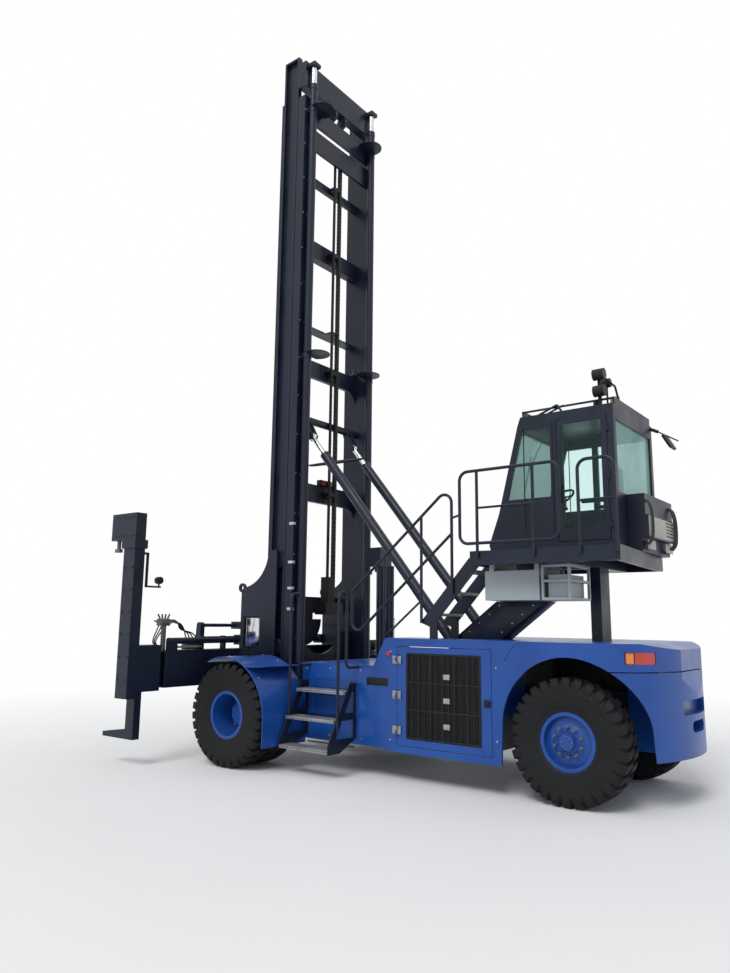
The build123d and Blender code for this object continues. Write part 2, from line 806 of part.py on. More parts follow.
def main_frame():
    """Two rails, a rear spine, cross members, mast brackets and tilt brackets."""
    rail_top = RAIL_BOTTOM + RAIL_HEIGHT
    rail_outer = RAIL_INNER_Y + RAIL_WIDTH
    rail_z = (RAIL_BOTTOM, rail_top)
    pieces = []
    for side in (1, -1):
        rail_y = (side * RAIL_INNER_Y, side * rail_outer)
        pieces.append(block((ahead(RAIL_FRONT), ahead(-RAIL_REAR)), rail_y, rail_z))
    for place in (CROSS_FRONT, MOTOR_REAR - RUN_GAP, CROSS_LENGTH - RAIL_REAR):
        pieces.append(block((ahead(place), ahead(place - CROSS_LENGTH)), (-rail_outer, rail_outer), rail_z))
    pieces.append(block(
        (ahead(-RAIL_REAR), ahead(-SPINE_REAR)), (-SPINE_HALF_WIDTH, SPINE_HALF_WIDTH), rail_z,
    ))
    pivot = (ahead(MAST_TILT_X), MAST_TILT_Z)
    lug_half = MAST_LUG_GAP / 2 + MAST_LUG_THICKNESS
    for side in (1, -1):
        centre = side * MAST_LUG_Y
        pieces.append(bar((pivot[0], centre - lug_half, pivot[1]), (pivot[0], centre + lug_half, pivot[1]),
                          TILT_PIN_RADIUS * 2))
        for offset in (-1, 1):
            near = centre + offset * MAST_LUG_GAP / 2
            far = centre + offset * lug_half
            low, high = sorted((near, far))
            pieces.append(bar((pivot[0], low, pivot[1]), (pivot[0], high, pivot[1]), MAST_LUG_RADIUS))
            pieces.append(block((pivot[0] - MAST_LUG_RADIUS, pivot[0] + MAST_LUG_RADIUS), (low, high),
                                (RAIL_BOTTOM, pivot[1])))
        pieces.append(block((pivot[0] - MAST_LUG_RADIUS, pivot[0] + MAST_LUG_RADIUS),
                            (side * rail_outer, centre + side * lug_half),
                            (RAIL_BOTTOM, RAIL_BOTTOM + MAST_LUG_THICKNESS)))
    base = (ahead(TILT_BASE_X), TILT_BASE_Z)
    eye_half = TILT_EYE_WIDTH / 2 + RUN_GAP
    for side in (1, -1):
        centre = side * TILT_Y
        for offset in (-1, 1):
            low, high = sorted((centre + offset * eye_half, centre + offset * (eye_half + TILT_LUG_THICKNESS)))
            outline = [
                (base[0] - 2 * TILT_LUG_RADIUS, rail_top),
                (base[0] + 2 * TILT_LUG_RADIUS, rail_top),
                (base[0] + TILT_LUG_RADIUS, base[1]),
                (base[0] - TILT_LUG_RADIUS, base[1]),
            ]
            pieces.append(side_plate(outline, low, high))
            pieces.append(bar((base[0], low, base[1]), (base[0], high, base[1]), TILT_LUG_RADIUS))
        outer = eye_half + TILT_LUG_THICKNESS
        pieces.append(bar((base[0], centre - outer, base[1]), (base[0], centre + outer, base[1]), TILT_PIN_RADIUS))
        pieces.append(block((base[0] - 2 * TILT_LUG_RADIUS, base[0] + 2 * TILT_LUG_RADIUS),
                            (side * RAIL_INNER_Y, centre + side * outer),
                            (rail_top - TILT_LUG_THICKNESS, rail_top)))
    write("main_frame", joined(*pieces))


def power():
    """Drive motor between the rails and a battery pack outside each."""
    motor = block(
        (ahead(MOTOR_FRONT), ahead(MOTOR_REAR)),
        (-MOTOR_HALF_WIDTH, MOTOR_HALF_WIDTH),
        (MOTOR_FOOT, MOTOR_TOP),
    )
    shaft = bar(
        (ahead(MOTOR_FRONT), 0, TYRE_RADIUS),
        (ahead(-AXLE_BOWL_RADIUS) - FRAME_GAP, 0, TYRE_RADIUS),
        REAR_SPINDLE_RADIUS,
    )
    shoulders = both(block(
        (ahead(MOTOR_FRONT - CROSS_LENGTH), ahead(MOTOR_REAR + CROSS_LENGTH)),
        (MOTOR_HALF_WIDTH, RAIL_INNER_Y - FRAME_GAP),
        (RAIL_BOTTOM, MOTOR_TOP),
    ))
    write("drive_motor", joined(motor, shaft, *shoulders))
    rail_outer = RAIL_INNER_Y + RAIL_WIDTH
    rail_top = RAIL_BOTTOM + RAIL_HEIGHT
    lug_outer = TILT_Y + TILT_EYE_WIDTH / 2 + RUN_GAP + TILT_LUG_THICKNESS
    pack = block(
        (ahead(PACK_FRONT), ahead(PACK_REAR)),
        (rail_outer + FRAME_GAP, PACK_OUTER_Y),
        (PACK_FOOT, rail_top - TILT_LUG_THICKNESS - FRAME_GAP),
    )
    upper = block(
        (ahead(PACK_FRONT), ahead(PACK_REAR)),
        (lug_outer + RUN_GAP, PACK_OUTER_Y),
        (PACK_FOOT, PACK_TOP),
    )
    write("battery_packs", both(joined(pack, upper)))


def fixed_mast():
    """Fixed uprights, crossbars, lift barrels and pipes."""
    rear = ahead(MAST_REAR)
    box_front = rear + MAST_REAR_BOX
    web_front = box_front + MAST_WEB_REACH
    z = (MAST_FOOT, MAST_FIXED_TOP)
    column = block((rear, box_front), (MAST_BOX_INNER_Y, MAST_OUTER_Y), z)
    web = block((box_front, web_front), (MAST_BOX_INNER_Y, MAST_BOX_INNER_Y + MAST_WEB_THICKNESS), z)
    write("mast_uprights", both(joined(column, web)))

    bar_rear = ahead(CROSSBAR_X)
    bar_x = (bar_rear, bar_rear + CROSSBAR_LENGTH)
    inner = MAST_BOX_INNER_Y
    bars = []
    for top_share, depth_share in REAR_BAR_SHARES:
        top = top_share * MAST_FIXED_TOP
        low = top - depth_share * MAST_FIXED_TOP
        bars.append(block((rear, rear + REAR_BAR_LENGTH), (-inner, inner), (low, top)))
    for top_share, depth_share, reach_share in CROSSBAR_SHARES:
        top = top_share * MAST_FIXED_TOP
        low = top - depth_share * MAST_FIXED_TOP
        bars.append(block((bar_rear, bar_rear + reach_share * MAST_WEB_REACH), (-inner, inner), (low, top)))
    for top_share, depth_share, up_share, down_share in HAUNCH_BAR_SHARES:
        top = top_share * MAST_FIXED_TOP
        low = top - depth_share * MAST_FIXED_TOP
        pieces = [block(bar_x, (-inner, inner), (low, top))]
        for wall in (-inner, inner):
            pieces.append(gusset(bar_x, wall, low, down_share * MAST_FIXED_TOP, -1))
            if up_share:
                pieces.append(gusset(bar_x, wall, top, up_share * MAST_FIXED_TOP, 1))
        bars.append(joined(*pieces))
    tube_x = ahead(TILT_TUBE_X)
    tube = bar((tube_x, -inner, TILT_TUBE_Z), (tube_x, inner, TILT_TUBE_Z), TILT_TUBE_RADIUS)
    bars.append(joined(tube, *tilt_ears(tube_x)))
    bars.append(bulkhead(bar_x, inner))
    write("mast_crossbars", bars)
    write("lift_barrels", both(lift_barrel(rear)))
    mast_pipes(bar_rear)


def gusset(bar_x, wall, level, radius, up):
    """Concave corner between an upright's inner face and a crossbar's edge."""
    inward = -1 if wall > 0 else 1
    centre_y = wall + inward * radius
    centre_z = level + up * radius
    corner = block(bar_x, (centre_y, wall), (level, centre_z))
    scoop = bar((bar_x[0] - OVERRUN, centre_y, centre_z), (bar_x[1] + OVERRUN, centre_y, centre_z), radius)
    return corner - scoop


def lift_barrel(mast_rear):
    """Left lift barrel with its foot, gland, clamps and the round shields above them."""
    x, y = ahead(LIFT_CYLINDER_X), LIFT_CYLINDER_Y
    rod_top = MAST_HEIGHT - HEAD_DROP - HEAD_ROD_DROP
    top_z = rod_top - LIFT_ROD_SHOW
    seat = mast_rear - FRAME_GAP
    pieces = [
        bar((x, y, LIFT_BARREL_FOOT), (x, y, top_z), LIFT_BARREL_RADIUS),
        bar((x, y, top_z - LIFT_GLAND_HEIGHT), (x, y, top_z), LIFT_GLAND_RADIUS),
        block((x - LIFT_BARREL_RADIUS, seat), (y - LIFT_BARREL_RADIUS, y + LIFT_BARREL_RADIUS),
              (LIFT_BARREL_FOOT - CLAMP_HEIGHT, LIFT_BARREL_FOOT)),
    ]
    for z in (CLAMP_Z, MAST_FIXED_TOP - CLAMP_TOP_DROP):
        pieces.append(block((x, seat), (y - CLAMP_WIDTH, y + CLAMP_WIDTH), (z - CLAMP_HEIGHT, z)))
        pieces.append(bar((x, y, z - CLAMP_HEIGHT), (x, y, z), LIFT_GLAND_RADIUS))
        centre = (x - SHIELD_BACK, y - SHIELD_OFFSET)
        shield = bar((*centre, z), (*centre, z + SHIELD_THICKNESS), SHIELD_RADIUS)
        behind = block((seat, seat + 2 * SHIELD_RADIUS), (0, MAST_OUTER_Y), (z - OVERRUN, z + CLAMP_HEIGHT))
        pieces.append(shield - behind)
    hole = bar((x, y, rod_top - LIFT_ROD_DEPTH - OVERRUN), (x, y, top_z), LIFT_ROD_RADIUS + FRAME_GAP)
    return joined(*pieces) - hole


def tilt_ears(tube_x):
    """Ears and pins on the round tube for the rod ends of the tilt cylinders."""
    eye = (ahead(TILT_EYE_X), TILT_EYE_Z)
    half = TILT_EYE_WIDTH / 2 + RUN_GAP
    pieces = []
    for side in (1, -1):
        centre = side * TILT_Y
        outer = half + TILT_LUG_THICKNESS
        for offset in (-1, 1):
            low, high = sorted((centre + offset * half, centre + offset * outer))
            outline = [
                (tube_x - TILT_TUBE_RADIUS / 2, TILT_TUBE_Z + TILT_TUBE_RADIUS / 2),
                (eye[0] - TILT_EYE_RADIUS / 2, eye[1] + TILT_EYE_RADIUS),
                (eye[0] - TILT_EYE_RADIUS, eye[1]),
                (eye[0] - TILT_EYE_RADIUS / 2, eye[1] - TILT_EYE_RADIUS),
                (eye[0] + TILT_EYE_RADIUS, eye[1] - TILT_EYE_RADIUS),
                (tube_x + TILT_TUBE_RADIUS / 2, TILT_TUBE_Z - TILT_TUBE_RADIUS / 2),
            ]
            pieces.append(side_plate(outline, low, high))
        pieces.append(bar((eye[0], centre - outer, eye[1]), (eye[0], centre + outer, eye[1]), TILT_PIN_RADIUS))
    return pieces


def bulkhead(bar_x, inner):
    """Low cross plate with a round notch, and the lugs of the tilt pivot."""
    plate = block((bar_x[0], bar_x[0] + BULKHEAD_THICKNESS), (-inner, inner), (MAST_FOOT, BULKHEAD_TOP))
    notch = bar((bar_x[0] - OVERRUN, 0, BULKHEAD_NOTCH_Z),
                (bar_x[0] + BULKHEAD_THICKNESS + OVERRUN, 0, BULKHEAD_NOTCH_Z), BULKHEAD_NOTCH_RADIUS)
    pieces = [plate - notch]
    pivot = (ahead(MAST_TILT_X), MAST_TILT_Z)
    hole_radius = TILT_PIN_RADIUS * 2 + FRAME_GAP
    half = MAST_LUG_GAP / 2 - RUN_GAP
    holes = []
    for side in (1, -1):
        low, high = side * MAST_LUG_Y - half, side * MAST_LUG_Y + half
        pieces.append(bar((pivot[0], low, pivot[1]), (pivot[0], high, pivot[1]), MAST_LUG_RADIUS))
        pieces.append(block((pivot[0] - MAST_LUG_RADIUS, bar_x[0]), (low, high),
                            (pivot[1], pivot[1] + 2 * MAST_LUG_RADIUS)))
        holes.append(bar((pivot[0], low - OVERRUN, pivot[1]), (pivot[0], high + OVERRUN, pivot[1]), hole_radius))
    slots = []
    for side in (1, -1):
        outer = MAST_LUG_GAP / 2 + MAST_LUG_THICKNESS + RUN_GAP
        slots.append(block((bar_x[0] - OVERRUN, bar_x[0] + BULKHEAD_THICKNESS + OVERRUN),
                           (side * MAST_LUG_Y - outer, side * MAST_LUG_Y - half),
                           (MAST_FOOT - OVERRUN, pivot[1] + MAST_LUG_RADIUS + OVERRUN)))
        slots.append(block((bar_x[0] - OVERRUN, bar_x[0] + BULKHEAD_THICKNESS + OVERRUN),
                           (side * MAST_LUG_Y + half, side * MAST_LUG_Y + outer),
                           (MAST_FOOT - OVERRUN, pivot[1] + MAST_LUG_RADIUS + OVERRUN)))
    return joined(*pieces) - slots - holes


def mast_pipes(bar_rear):
    """Pipe, the housing that it enters, and the energy chain, on brackets behind the crossbars."""
    x = ahead(PIPE_X)
    top = PIPE_TOP_SHARE * MAST_FIXED_TOP
    pieces = [bar((x, PIPE_Y, PIPE_FOOT), (x, PIPE_Y, top), PIPE_RADIUS)]
    housing = block((x - PIPE_BOX_HALF_WIDTH, x + PIPE_BOX_HALF_WIDTH), (-PIPE_BOX_HALF_WIDTH, PIPE_BOX_HALF_WIDTH),
                    (PIPE_BOX_FOOT, PIPE_FOOT))
    manifold = block((x - MANIFOLD_LENGTH, x + PIPE_BOX_HALF_WIDTH), (-MANIFOLD_HALF_WIDTH, MANIFOLD_HALF_WIDTH),
                     (PIPE_BOX_FOOT - MANIFOLD_HEIGHT, PIPE_BOX_FOOT))
    chain_x = (x - CHAIN_THICKNESS / 2, x + CHAIN_THICKNESS / 2)
    chain_y = (CHAIN_Y - CHAIN_WIDTH / 2, CHAIN_Y + CHAIN_WIDTH / 2)
    pieces.append(block(chain_x, chain_y, (PIPE_BOX_FOOT, top)))
    rows = [row[:2] for row in CROSSBAR_SHARES + HAUNCH_BAR_SHARES]
    for top_share, depth_share in rows:
        middle = (top_share - depth_share / 2) * MAST_FIXED_TOP
        half = min(depth_share * MAST_FIXED_TOP, PIPE_BRACKET) / 2
        pieces.append(block((chain_x[0], bar_rear - FRAME_GAP), (chain_y[0], PIPE_Y + PIPE_RADIUS),
                            (middle - half, middle + half)))
    write("mast_pipes", joined(*pieces, housing, manifold))


def lifting_mast():
    """Outward channels, the head beam with lugs and sheaves, and the lift rods."""
    rear = ahead(MAST_REAR + MAST_REAR_BOX + LIFT_REAR_GAP)
    front = rear + LIFT_DEPTH
    inner = MAST_OUTER_Y - LIFT_FLANGE_WIDTH
    z = (LIFT_FOOT, MAST_HEIGHT)
    web = block((rear, front), (inner, inner + LIFT_WEB), z)
    back = block((rear, rear + LIFT_FLANGE), (inner, MAST_OUTER_Y), z)
    fore = block((front - LIFT_FLANGE, front), (inner, MAST_OUTER_Y), z)
    cap = block((rear, front), (inner, MAST_OUTER_Y), (MAST_HEIGHT - LIFT_FLANGE, MAST_HEIGHT))
    doubler = block((front, front + DOUBLER_THICKNESS), (MAST_OUTER_Y - DOUBLER_WIDTH, MAST_OUTER_Y),
                    (LIFT_FOOT, MAST_FIXED_TOP))
    write("lift_uprights", both(joined(web, back, fore, cap, doubler)))

    top = MAST_HEIGHT - HEAD_DROP
    low = top - HEAD_DEPTH
    beam_x = (ahead(HEAD_REAR), rear - FRAME_GAP)
    half = MAST_OUTER_Y
    pieces = [
        block((beam_x[0], beam_x[0] + HEAD_WEB), (-half, half), (low, top)),
        block(beam_x, (-half, half), (top - HEAD_FLANGE_THICKNESS, top)),
        block(beam_x, (-half, half), (low, low + HEAD_FLANGE_THICKNESS)),
    ]
    pieces += both(block(beam_x, (half - HEAD_END, half), (low, top)))
    lug_x = ahead(LIFT_CYLINDER_X)
    rod_top = top - HEAD_ROD_DROP
    pieces += both(block(
        (lug_x - HEAD_LUG_HALF_WIDTH, beam_x[0]),
        (LIFT_CYLINDER_Y - HEAD_LUG_HALF_WIDTH, LIFT_CYLINDER_Y + HEAD_LUG_HALF_WIDTH),
        (rod_top, rod_top + HEAD_LUG_THICKNESS),
    ))
    sheave_x = (beam_x[0] + beam_x[1]) / 2
    sheave_z = low - SHEAVE_RADIUS - FRAME_GAP
    for y in (-SHEAVE_Y, SHEAVE_Y):
        pieces.append(bar((sheave_x, y - SHEAVE_WIDTH / 2, sheave_z), (sheave_x, y + SHEAVE_WIDTH / 2, sheave_z),
                          SHEAVE_RADIUS))
        pieces.append(block((sheave_x - SHEAVE_RADIUS / 2, sheave_x + SHEAVE_RADIUS / 2),
                            (y + SHEAVE_WIDTH / 2, y + SHEAVE_WIDTH), (sheave_z - SHEAVE_RADIUS / 2, low)))
    write("lift_head", joined(*pieces))

    rod = bar((lug_x, LIFT_CYLINDER_Y, rod_top - LIFT_ROD_DEPTH), (lug_x, LIFT_CYLINDER_Y, rod_top), LIFT_ROD_RADIUS)
    write("lift_rods", both(rod))


def tilt_cylinders():
    """Barrels hinged on the frame and rods whose eyes meet the mast's pins."""
    base = Vector(ahead(TILT_BASE_X), TILT_Y, TILT_BASE_Z)
    eye = Vector(ahead(TILT_EYE_X), TILT_Y, TILT_EYE_Z)
    run = (eye - base).normalized()
    half = TILT_EYE_WIDTH / 2
    gland = eye - run * TILT_ROD_SHOW
    rod_foot = gland - run * TILT_ROD_DEPTH
    barrel = bar(tuple(base + run * TILT_BARREL_START), tuple(gland), TILT_BARREL_RADIUS)
    neck = bar(tuple(base), tuple(base + run * 2 * TILT_LUG_RADIUS), half)
    foot = bar((base.X, base.Y - half, base.Z), (base.X, base.Y + half, base.Z), TILT_LUG_RADIUS)
    pin = bar((base.X, base.Y - half, base.Z), (base.X, base.Y + half, base.Z), TILT_PIN_RADIUS + FRAME_GAP)
    hole = bar(tuple(rod_foot - run * TILT_ROD_ROOM), tuple(gland), TILT_ROD_RADIUS + FRAME_GAP)
    write("tilt_barrels", both(joined(barrel, neck, foot) - pin - hole))

    rod = bar(tuple(rod_foot), tuple(eye - run * TILT_EYE_RADIUS / 2), TILT_ROD_RADIUS)
    head = bar((eye.X, eye.Y - half, eye.Z), (eye.X, eye.Y + half, eye.Z), TILT_EYE_RADIUS)
    bore = bar((eye.X, eye.Y - half - OVERRUN, eye.Z), (eye.X, eye.Y + half + OVERRUN, eye.Z),
               TILT_PIN_RADIUS + TILT_EYE_PLAY)
    write("tilt_rods", both(joined(rod, head) - bore))


def carriage():
    """Side plates outside the uprights, with rollers in the channels, and two beams in front."""
    plate_outer = CARRIAGE_PLATE_Y + CARRIAGE_PLATE
    front = ahead(CARRIAGE_FRONT)
    bevel = CARRIAGE_PLATE * 4
    outline = [
        (ahead(CARRIAGE_REAR), CARRIAGE_FOOT + bevel),
        (ahead(CARRIAGE_REAR), CARRIAGE_TOP),
        (front, CARRIAGE_TOP),
        (front, CARRIAGE_FOOT + bevel / 2),
        (front - bevel, CARRIAGE_FOOT),
        (ahead(CARRIAGE_REAR) + bevel, CARRIAGE_FOOT),
    ]
    sweep_cut = bar((front, CARRIAGE_PLATE_Y - OVERRUN, CARRIAGE_TOP), (front, plate_outer + OVERRUN, CARRIAGE_TOP),
                    CARRIAGE_SWEEP)
    plate = side_plate(outline, CARRIAGE_PLATE_Y, plate_outer) - sweep_cut
    eye_z = CARRIAGE_TOP - CARRIAGE_SWEEP
    eye = bar((front, CARRIAGE_PLATE_Y, eye_z), (front, plate_outer, eye_z), CARRIAGE_EYE_RADIUS)
    eye_hole = bar((front, CARRIAGE_PLATE_Y - OVERRUN, eye_z), (front, plate_outer + OVERRUN, eye_z),
                   CARRIAGE_EYE_RADIUS / 2)
    channel_rear = MAST_REAR + MAST_REAR_BOX + LIFT_REAR_GAP + LIFT_FLANGE
    channel_front = MAST_REAR + MAST_REAR_BOX + LIFT_REAR_GAP + LIFT_DEPTH - LIFT_FLANGE
    roller_x = ahead((channel_rear + channel_front) / 2)
    roller_radius = (channel_front - channel_rear) / 2 - FRAME_GAP
    roller_y = MAST_OUTER_Y - LIFT_FLANGE_WIDTH + LIFT_WEB + RUN_GAP
    side = [joined(plate, eye) - eye_hole]
    for z in (ROLLER_LOW_Z, ROLLER_HIGH_Z):
        side.append(bar((roller_x, roller_y, z), (roller_x, roller_y + ROLLER_WIDTH, z), roller_radius))
        side.append(bar((roller_x, roller_y, z), (roller_x, CARRIAGE_PLATE_Y, z), ROLLER_PIN_RADIUS))
    beams = []
    beam_x = (ahead(CARRIAGE_BEAM_REAR), ahead(CARRIAGE_BEAM_REAR + CARRIAGE_BEAM_LENGTH))
    for foot in (CARRIAGE_LOW_BEAM_FOOT, CARRIAGE_HIGH_BEAM_FOOT):
        beams.append(block(beam_x, (-CARRIAGE_PLATE_Y, CARRIAGE_PLATE_Y), (foot, foot + CARRIAGE_BEAM_DEPTH)))
    tray_high = bar((beam_x[0], 0, HOSE_TRAY_TOP), (beam_x[0] + HOSE_TRAY_THICKNESS, 0, HOSE_TRAY_TOP),
                    HOSE_TRAY_RADIUS)
    above = block((beam_x[0] - OVERRUN, beam_x[1]), (-HOSE_TRAY_RADIUS, HOSE_TRAY_RADIUS),
                  (HOSE_TRAY_TOP, HOSE_TRAY_TOP + HOSE_TRAY_RADIUS))
    neck = block((beam_x[0], beam_x[0] + HOSE_TRAY_THICKNESS), (-HOSE_TRAY_RADIUS / 2, HOSE_TRAY_RADIUS / 2),
                 (HOSE_TRAY_TOP - HOSE_TRAY_RADIUS / 2, CARRIAGE_HIGH_BEAM_FOOT))
    collar_y = (plate_outer - SLEEVE_WIDTH, plate_outer)
    tube_x = ahead(BEAM_REAR) + BACK_TUBE_RADIUS
    side.append(bored_collar(front, collar_y, tube_x, BACK_TUBE_Z, BACK_TUBE_RADIUS + FRAME_GAP))
    left = joined(*side)
    shift_x = shift_cylinder_x()
    holder = bored_collar(front, collar_y, shift_x, SHIFT_Z, SHIFT_ROD_RADIUS + FRAME_GAP)
    barrel = bar((shift_x, SHIFT_BARREL_END_Y, SHIFT_Z), (shift_x, plate_outer, SHIFT_Z), SHIFT_BARREL_RADIUS)
    room = bar((shift_x, SHIFT_BARREL_END_Y + SLEEVE_WALL, SHIFT_Z), (shift_x, plate_outer + OVERRUN, SHIFT_Z),
               SHIFT_ROD_RADIUS + FRAME_GAP)
    write("carriage", joined(left, mirrored(left), *beams, tray_high - above, neck, holder, barrel) - room)


def shift_cylinder_x():
    """X of the side-shift cylinder, above the front half of the spreader beam."""
    return ahead(BEAM_REAR + BEAM_LENGTH) - SHIFT_LUG


def bored_collar(plate_front, y, x, z, bore):
    """Collar that stands in front of the carriage's plate round a tube or rod along Y."""
    reach = bore + SLEEVE_WALL
    collar = block((plate_front - SLEEVE_WALL, x + reach), y, (z - reach, z + reach))
    return collar - bar((x, y[0] - OVERRUN, z), (x, y[1] + OVERRUN, z), bore)


def spreader():
    """Side-shift beam with hydraulics, telescopic arms and twistlocks."""
    rear, front = ahead(BEAM_REAR), ahead(BEAM_REAR + BEAM_LENGTH)
    top = BEAM_FOOT + BEAM_HEIGHT
    y = (-BEAM_HALF_LENGTH, BEAM_HALF_LENGTH)
    shell = block((rear, front), y, (BEAM_FOOT, top))
    hollow = block((rear + BEAM_WALL, front - BEAM_WALL), (y[0] - OVERRUN, y[1] + OVERRUN),
                   (BEAM_FOOT + BEAM_WALL, top - BEAM_WALL))
    pieces = [shell - hollow]
    tube_x = rear + BACK_TUBE_RADIUS
    pieces.append(bar((tube_x, y[0] + END_BAND_LENGTH, BACK_TUBE_Z), (tube_x, y[1] - END_BAND_LENGTH, BACK_TUBE_Z),
                      BACK_TUBE_RADIUS))
    for place in (-1, 0, 1):
        middle = place * (BEAM_HALF_LENGTH - 2 * END_BAND_LENGTH)
        pieces.append(block((rear, rear + 2 * BACK_TUBE_RADIUS), (middle - END_BAND_LENGTH, middle + END_BAND_LENGTH),
                            (top, BACK_TUBE_Z)))
    shift_x = shift_cylinder_x()
    lug_outline = [
        (shift_x - SHIFT_LUG / 2, top),
        (shift_x + SHIFT_LUG, top),
        (shift_x + SHIFT_BARREL_RADIUS, SHIFT_Z),
        (shift_x - SHIFT_BARREL_RADIUS, SHIFT_Z),
    ]
    lug_y = (SHIFT_LUG_Y - SHIFT_LUG / 2, SHIFT_LUG_Y + SHIFT_LUG / 2)
    pieces.append(side_plate(lug_outline, *lug_y))
    pieces.append(bar((shift_x, lug_y[0], SHIFT_Z), (shift_x, lug_y[1], SHIFT_Z), SHIFT_BARREL_RADIUS))
    pieces.append(bar((shift_x, SHIFT_ROD_END_Y, SHIFT_Z), (shift_x, SHIFT_LUG_Y, SHIFT_Z), SHIFT_ROD_RADIUS))
    write("spreader_beam", joined(*pieces))

    arm_half = BEAM_WALL + ARM_GAP
    middle = (rear + front) / 2
    arm_z = (BEAM_FOOT + BEAM_WALL + FRAME_GAP, top - arm_half)
    write("spreader_arm_left", spreader_arm((middle + ARM_GAP / 2, front - arm_half), arm_z))
    write("spreader_arm_right", mirrored(spreader_arm((rear + arm_half, middle - ARM_GAP / 2), arm_z)))

    lock_x = ahead(POST_REAR + LOCK_REACH)
    shaft = bar((lock_x, POST_Y, HEAD_BOX_FOOT - LOCK_SHAFT_LENGTH),
                (lock_x, POST_Y, HEAD_BOX_FOOT + LOCK_SHAFT_LENGTH - FRAME_GAP), LOCK_SHAFT_RADIUS)
    head_low = HEAD_BOX_FOOT - LOCK_SHAFT_LENGTH - LOCK_HEAD_HEIGHT
    head = block((lock_x - LOCK_HEAD_LENGTH / 2, lock_x + LOCK_HEAD_LENGTH / 2),
                 (POST_Y - LOCK_HEAD_WIDTH / 2, POST_Y + LOCK_HEAD_WIDTH / 2),
                 (head_low, head_low + LOCK_HEAD_HEIGHT))
    lock = joined(shaft, head)
    write("twistlock_left", lock)
    write("twistlock_right", mirrored(lock))


def spreader_arm(arm_x, arm_z):
    """Left arm: box tube, end housing, post, head box with the twistlock's bore, and leg with its foot."""
    post_inner = POST_Y - POST_WIDTH / 2
    post_outer = POST_Y + POST_WIDTH / 2
    post_top = HEAD_BOX_FOOT - COLLAR_HEIGHT
    post_x = (ahead(POST_REAR), ahead(POST_REAR + POST_LENGTH))
    inner_end = ARM_INNER_END - BEAM_HALF_LENGTH
    arm = block(arm_x, (inner_end, post_inner), arm_z)
    arm -= block((arm_x[0] + ARM_WALL, arm_x[1] - ARM_WALL), (inner_end - OVERRUN, post_inner),
                 (arm_z[0] + ARM_WALL, arm_z[1] - ARM_WALL))
    pieces = [arm, block(post_x, (post_inner, post_outer), (POST_FOOT, post_top))]
    pieces.append(block((post_x[0], post_x[0] + HOUSING_LENGTH), (HOUSING_INNER_Y, post_inner),
                        (HOUSING_FOOT, HOUSING_TOP)))
    pieces.append(block((post_x[0] - COLLAR_RIM, post_x[1] + COLLAR_RIM),
                        (post_inner - COLLAR_RIM, post_outer + COLLAR_RIM), (post_top, HEAD_BOX_FOOT)))
    head = block((post_x[0], post_x[0] + HEAD_BOX_LENGTH), (post_inner, post_outer),
                 (HEAD_BOX_FOOT, HEAD_BOX_FOOT + HEAD_BOX_HEIGHT))
    pieces.append(head)
    leg_x = (post_x[0] + (POST_LENGTH - LEG_LENGTH) / 2, post_x[0] + (POST_LENGTH + LEG_LENGTH) / 2)
    leg_y = (LEG_Y - LEG_WIDTH / 2, LEG_Y + LEG_WIDTH / 2)
    pieces.append(block(leg_x, leg_y, (LEG_FOOT, HOUSING_FOOT)))
    foot_outline = [
        (leg_x[0], LEG_FOOT),
        (leg_x[0], LEG_FOOT + FOOT_HEIGHT),
        (leg_x[1], LEG_FOOT + FOOT_HEIGHT),
        (NOSE_X, LEG_FOOT + FOOT_TIP_HEIGHT),
        (NOSE_X, LEG_FOOT),
    ]
    pieces.append(side_plate(foot_outline, *leg_y))
    lock_x = ahead(POST_REAR + LOCK_REACH)
    hole = bar((lock_x, POST_Y, HEAD_BOX_FOOT - OVERRUN), (lock_x, POST_Y, HEAD_BOX_FOOT + LOCK_SHAFT_LENGTH),
               LOCK_SHAFT_RADIUS + FRAME_GAP)
    return joined(*pieces) - hole


def bodywork():
    """Deck, hood with its doors, rear cover and fenders."""
    inner = BODY_HALF_WIDTH - SKIN
    top = DECK_TOP - SKIN
    deck = [block((ahead(DECK_FRONT), ahead(DECK_REAR)), (-BODY_HALF_WIDTH, BODY_HALF_WIDTH), (top, DECK_TOP))]
    for side in (1, -1):
        deck.append(block((ahead(DECK_FRONT), ahead(DECK_REAR)), (side * inner, side * BODY_HALF_WIDTH),
                          (SKIRT_FOOT, top)))
        deck.append(block((ahead(DECK_FRONT), ahead(DECK_FRONT) - SKIN),
                          (side * (RAIL_INNER_Y + RAIL_WIDTH + FRAME_GAP), side * inner), (RAIL_BOTTOM, top)))
    write("deck", joined(*deck))
    hood(inner)
    hood_doors(inner)
    rear_cover(inner)
    fenders()


def arch_room(y_low, y_high):
    """Room for the steered wheel: a round arch over straight walls that flare towards the ground."""
    x = REAR_AXLE_X - ARCH_BEHIND
    foot = PANEL_FOOT - OVERRUN
    walls = [
        (x + ARCH_RADIUS, ARCH_Z),
        (x + ARCH_RADIUS + ARCH_FLARE, foot),
        (x - ARCH_RADIUS - ARCH_FLARE, foot),
        (x - ARCH_RADIUS, ARCH_Z),
    ]
    return joined(bar((x, y_low, ARCH_Z), (x, y_high, ARCH_Z), ARCH_RADIUS), side_plate(walls, y_low, y_high))


def seam_curve(back):
    """Seam between hood and rear cover, from its front foot up to the lip, moved back a little."""
    points = [(ahead(COVER_FRONT) - back, COVER_FRONT_FOOT)]
    for back_share, up_share in COVER_SEAM_SHARES:
        points.append((ahead(COVER_FRONT) + back_share * (COVER_LIP - COVER_FRONT) - back,
                       COVER_FRONT_FOOT + up_share * (HOOD_TOP - COVER_FRONT_FOOT)))
    points.append((ahead(COVER_LIP) - back, HOOD_TOP))
    return points


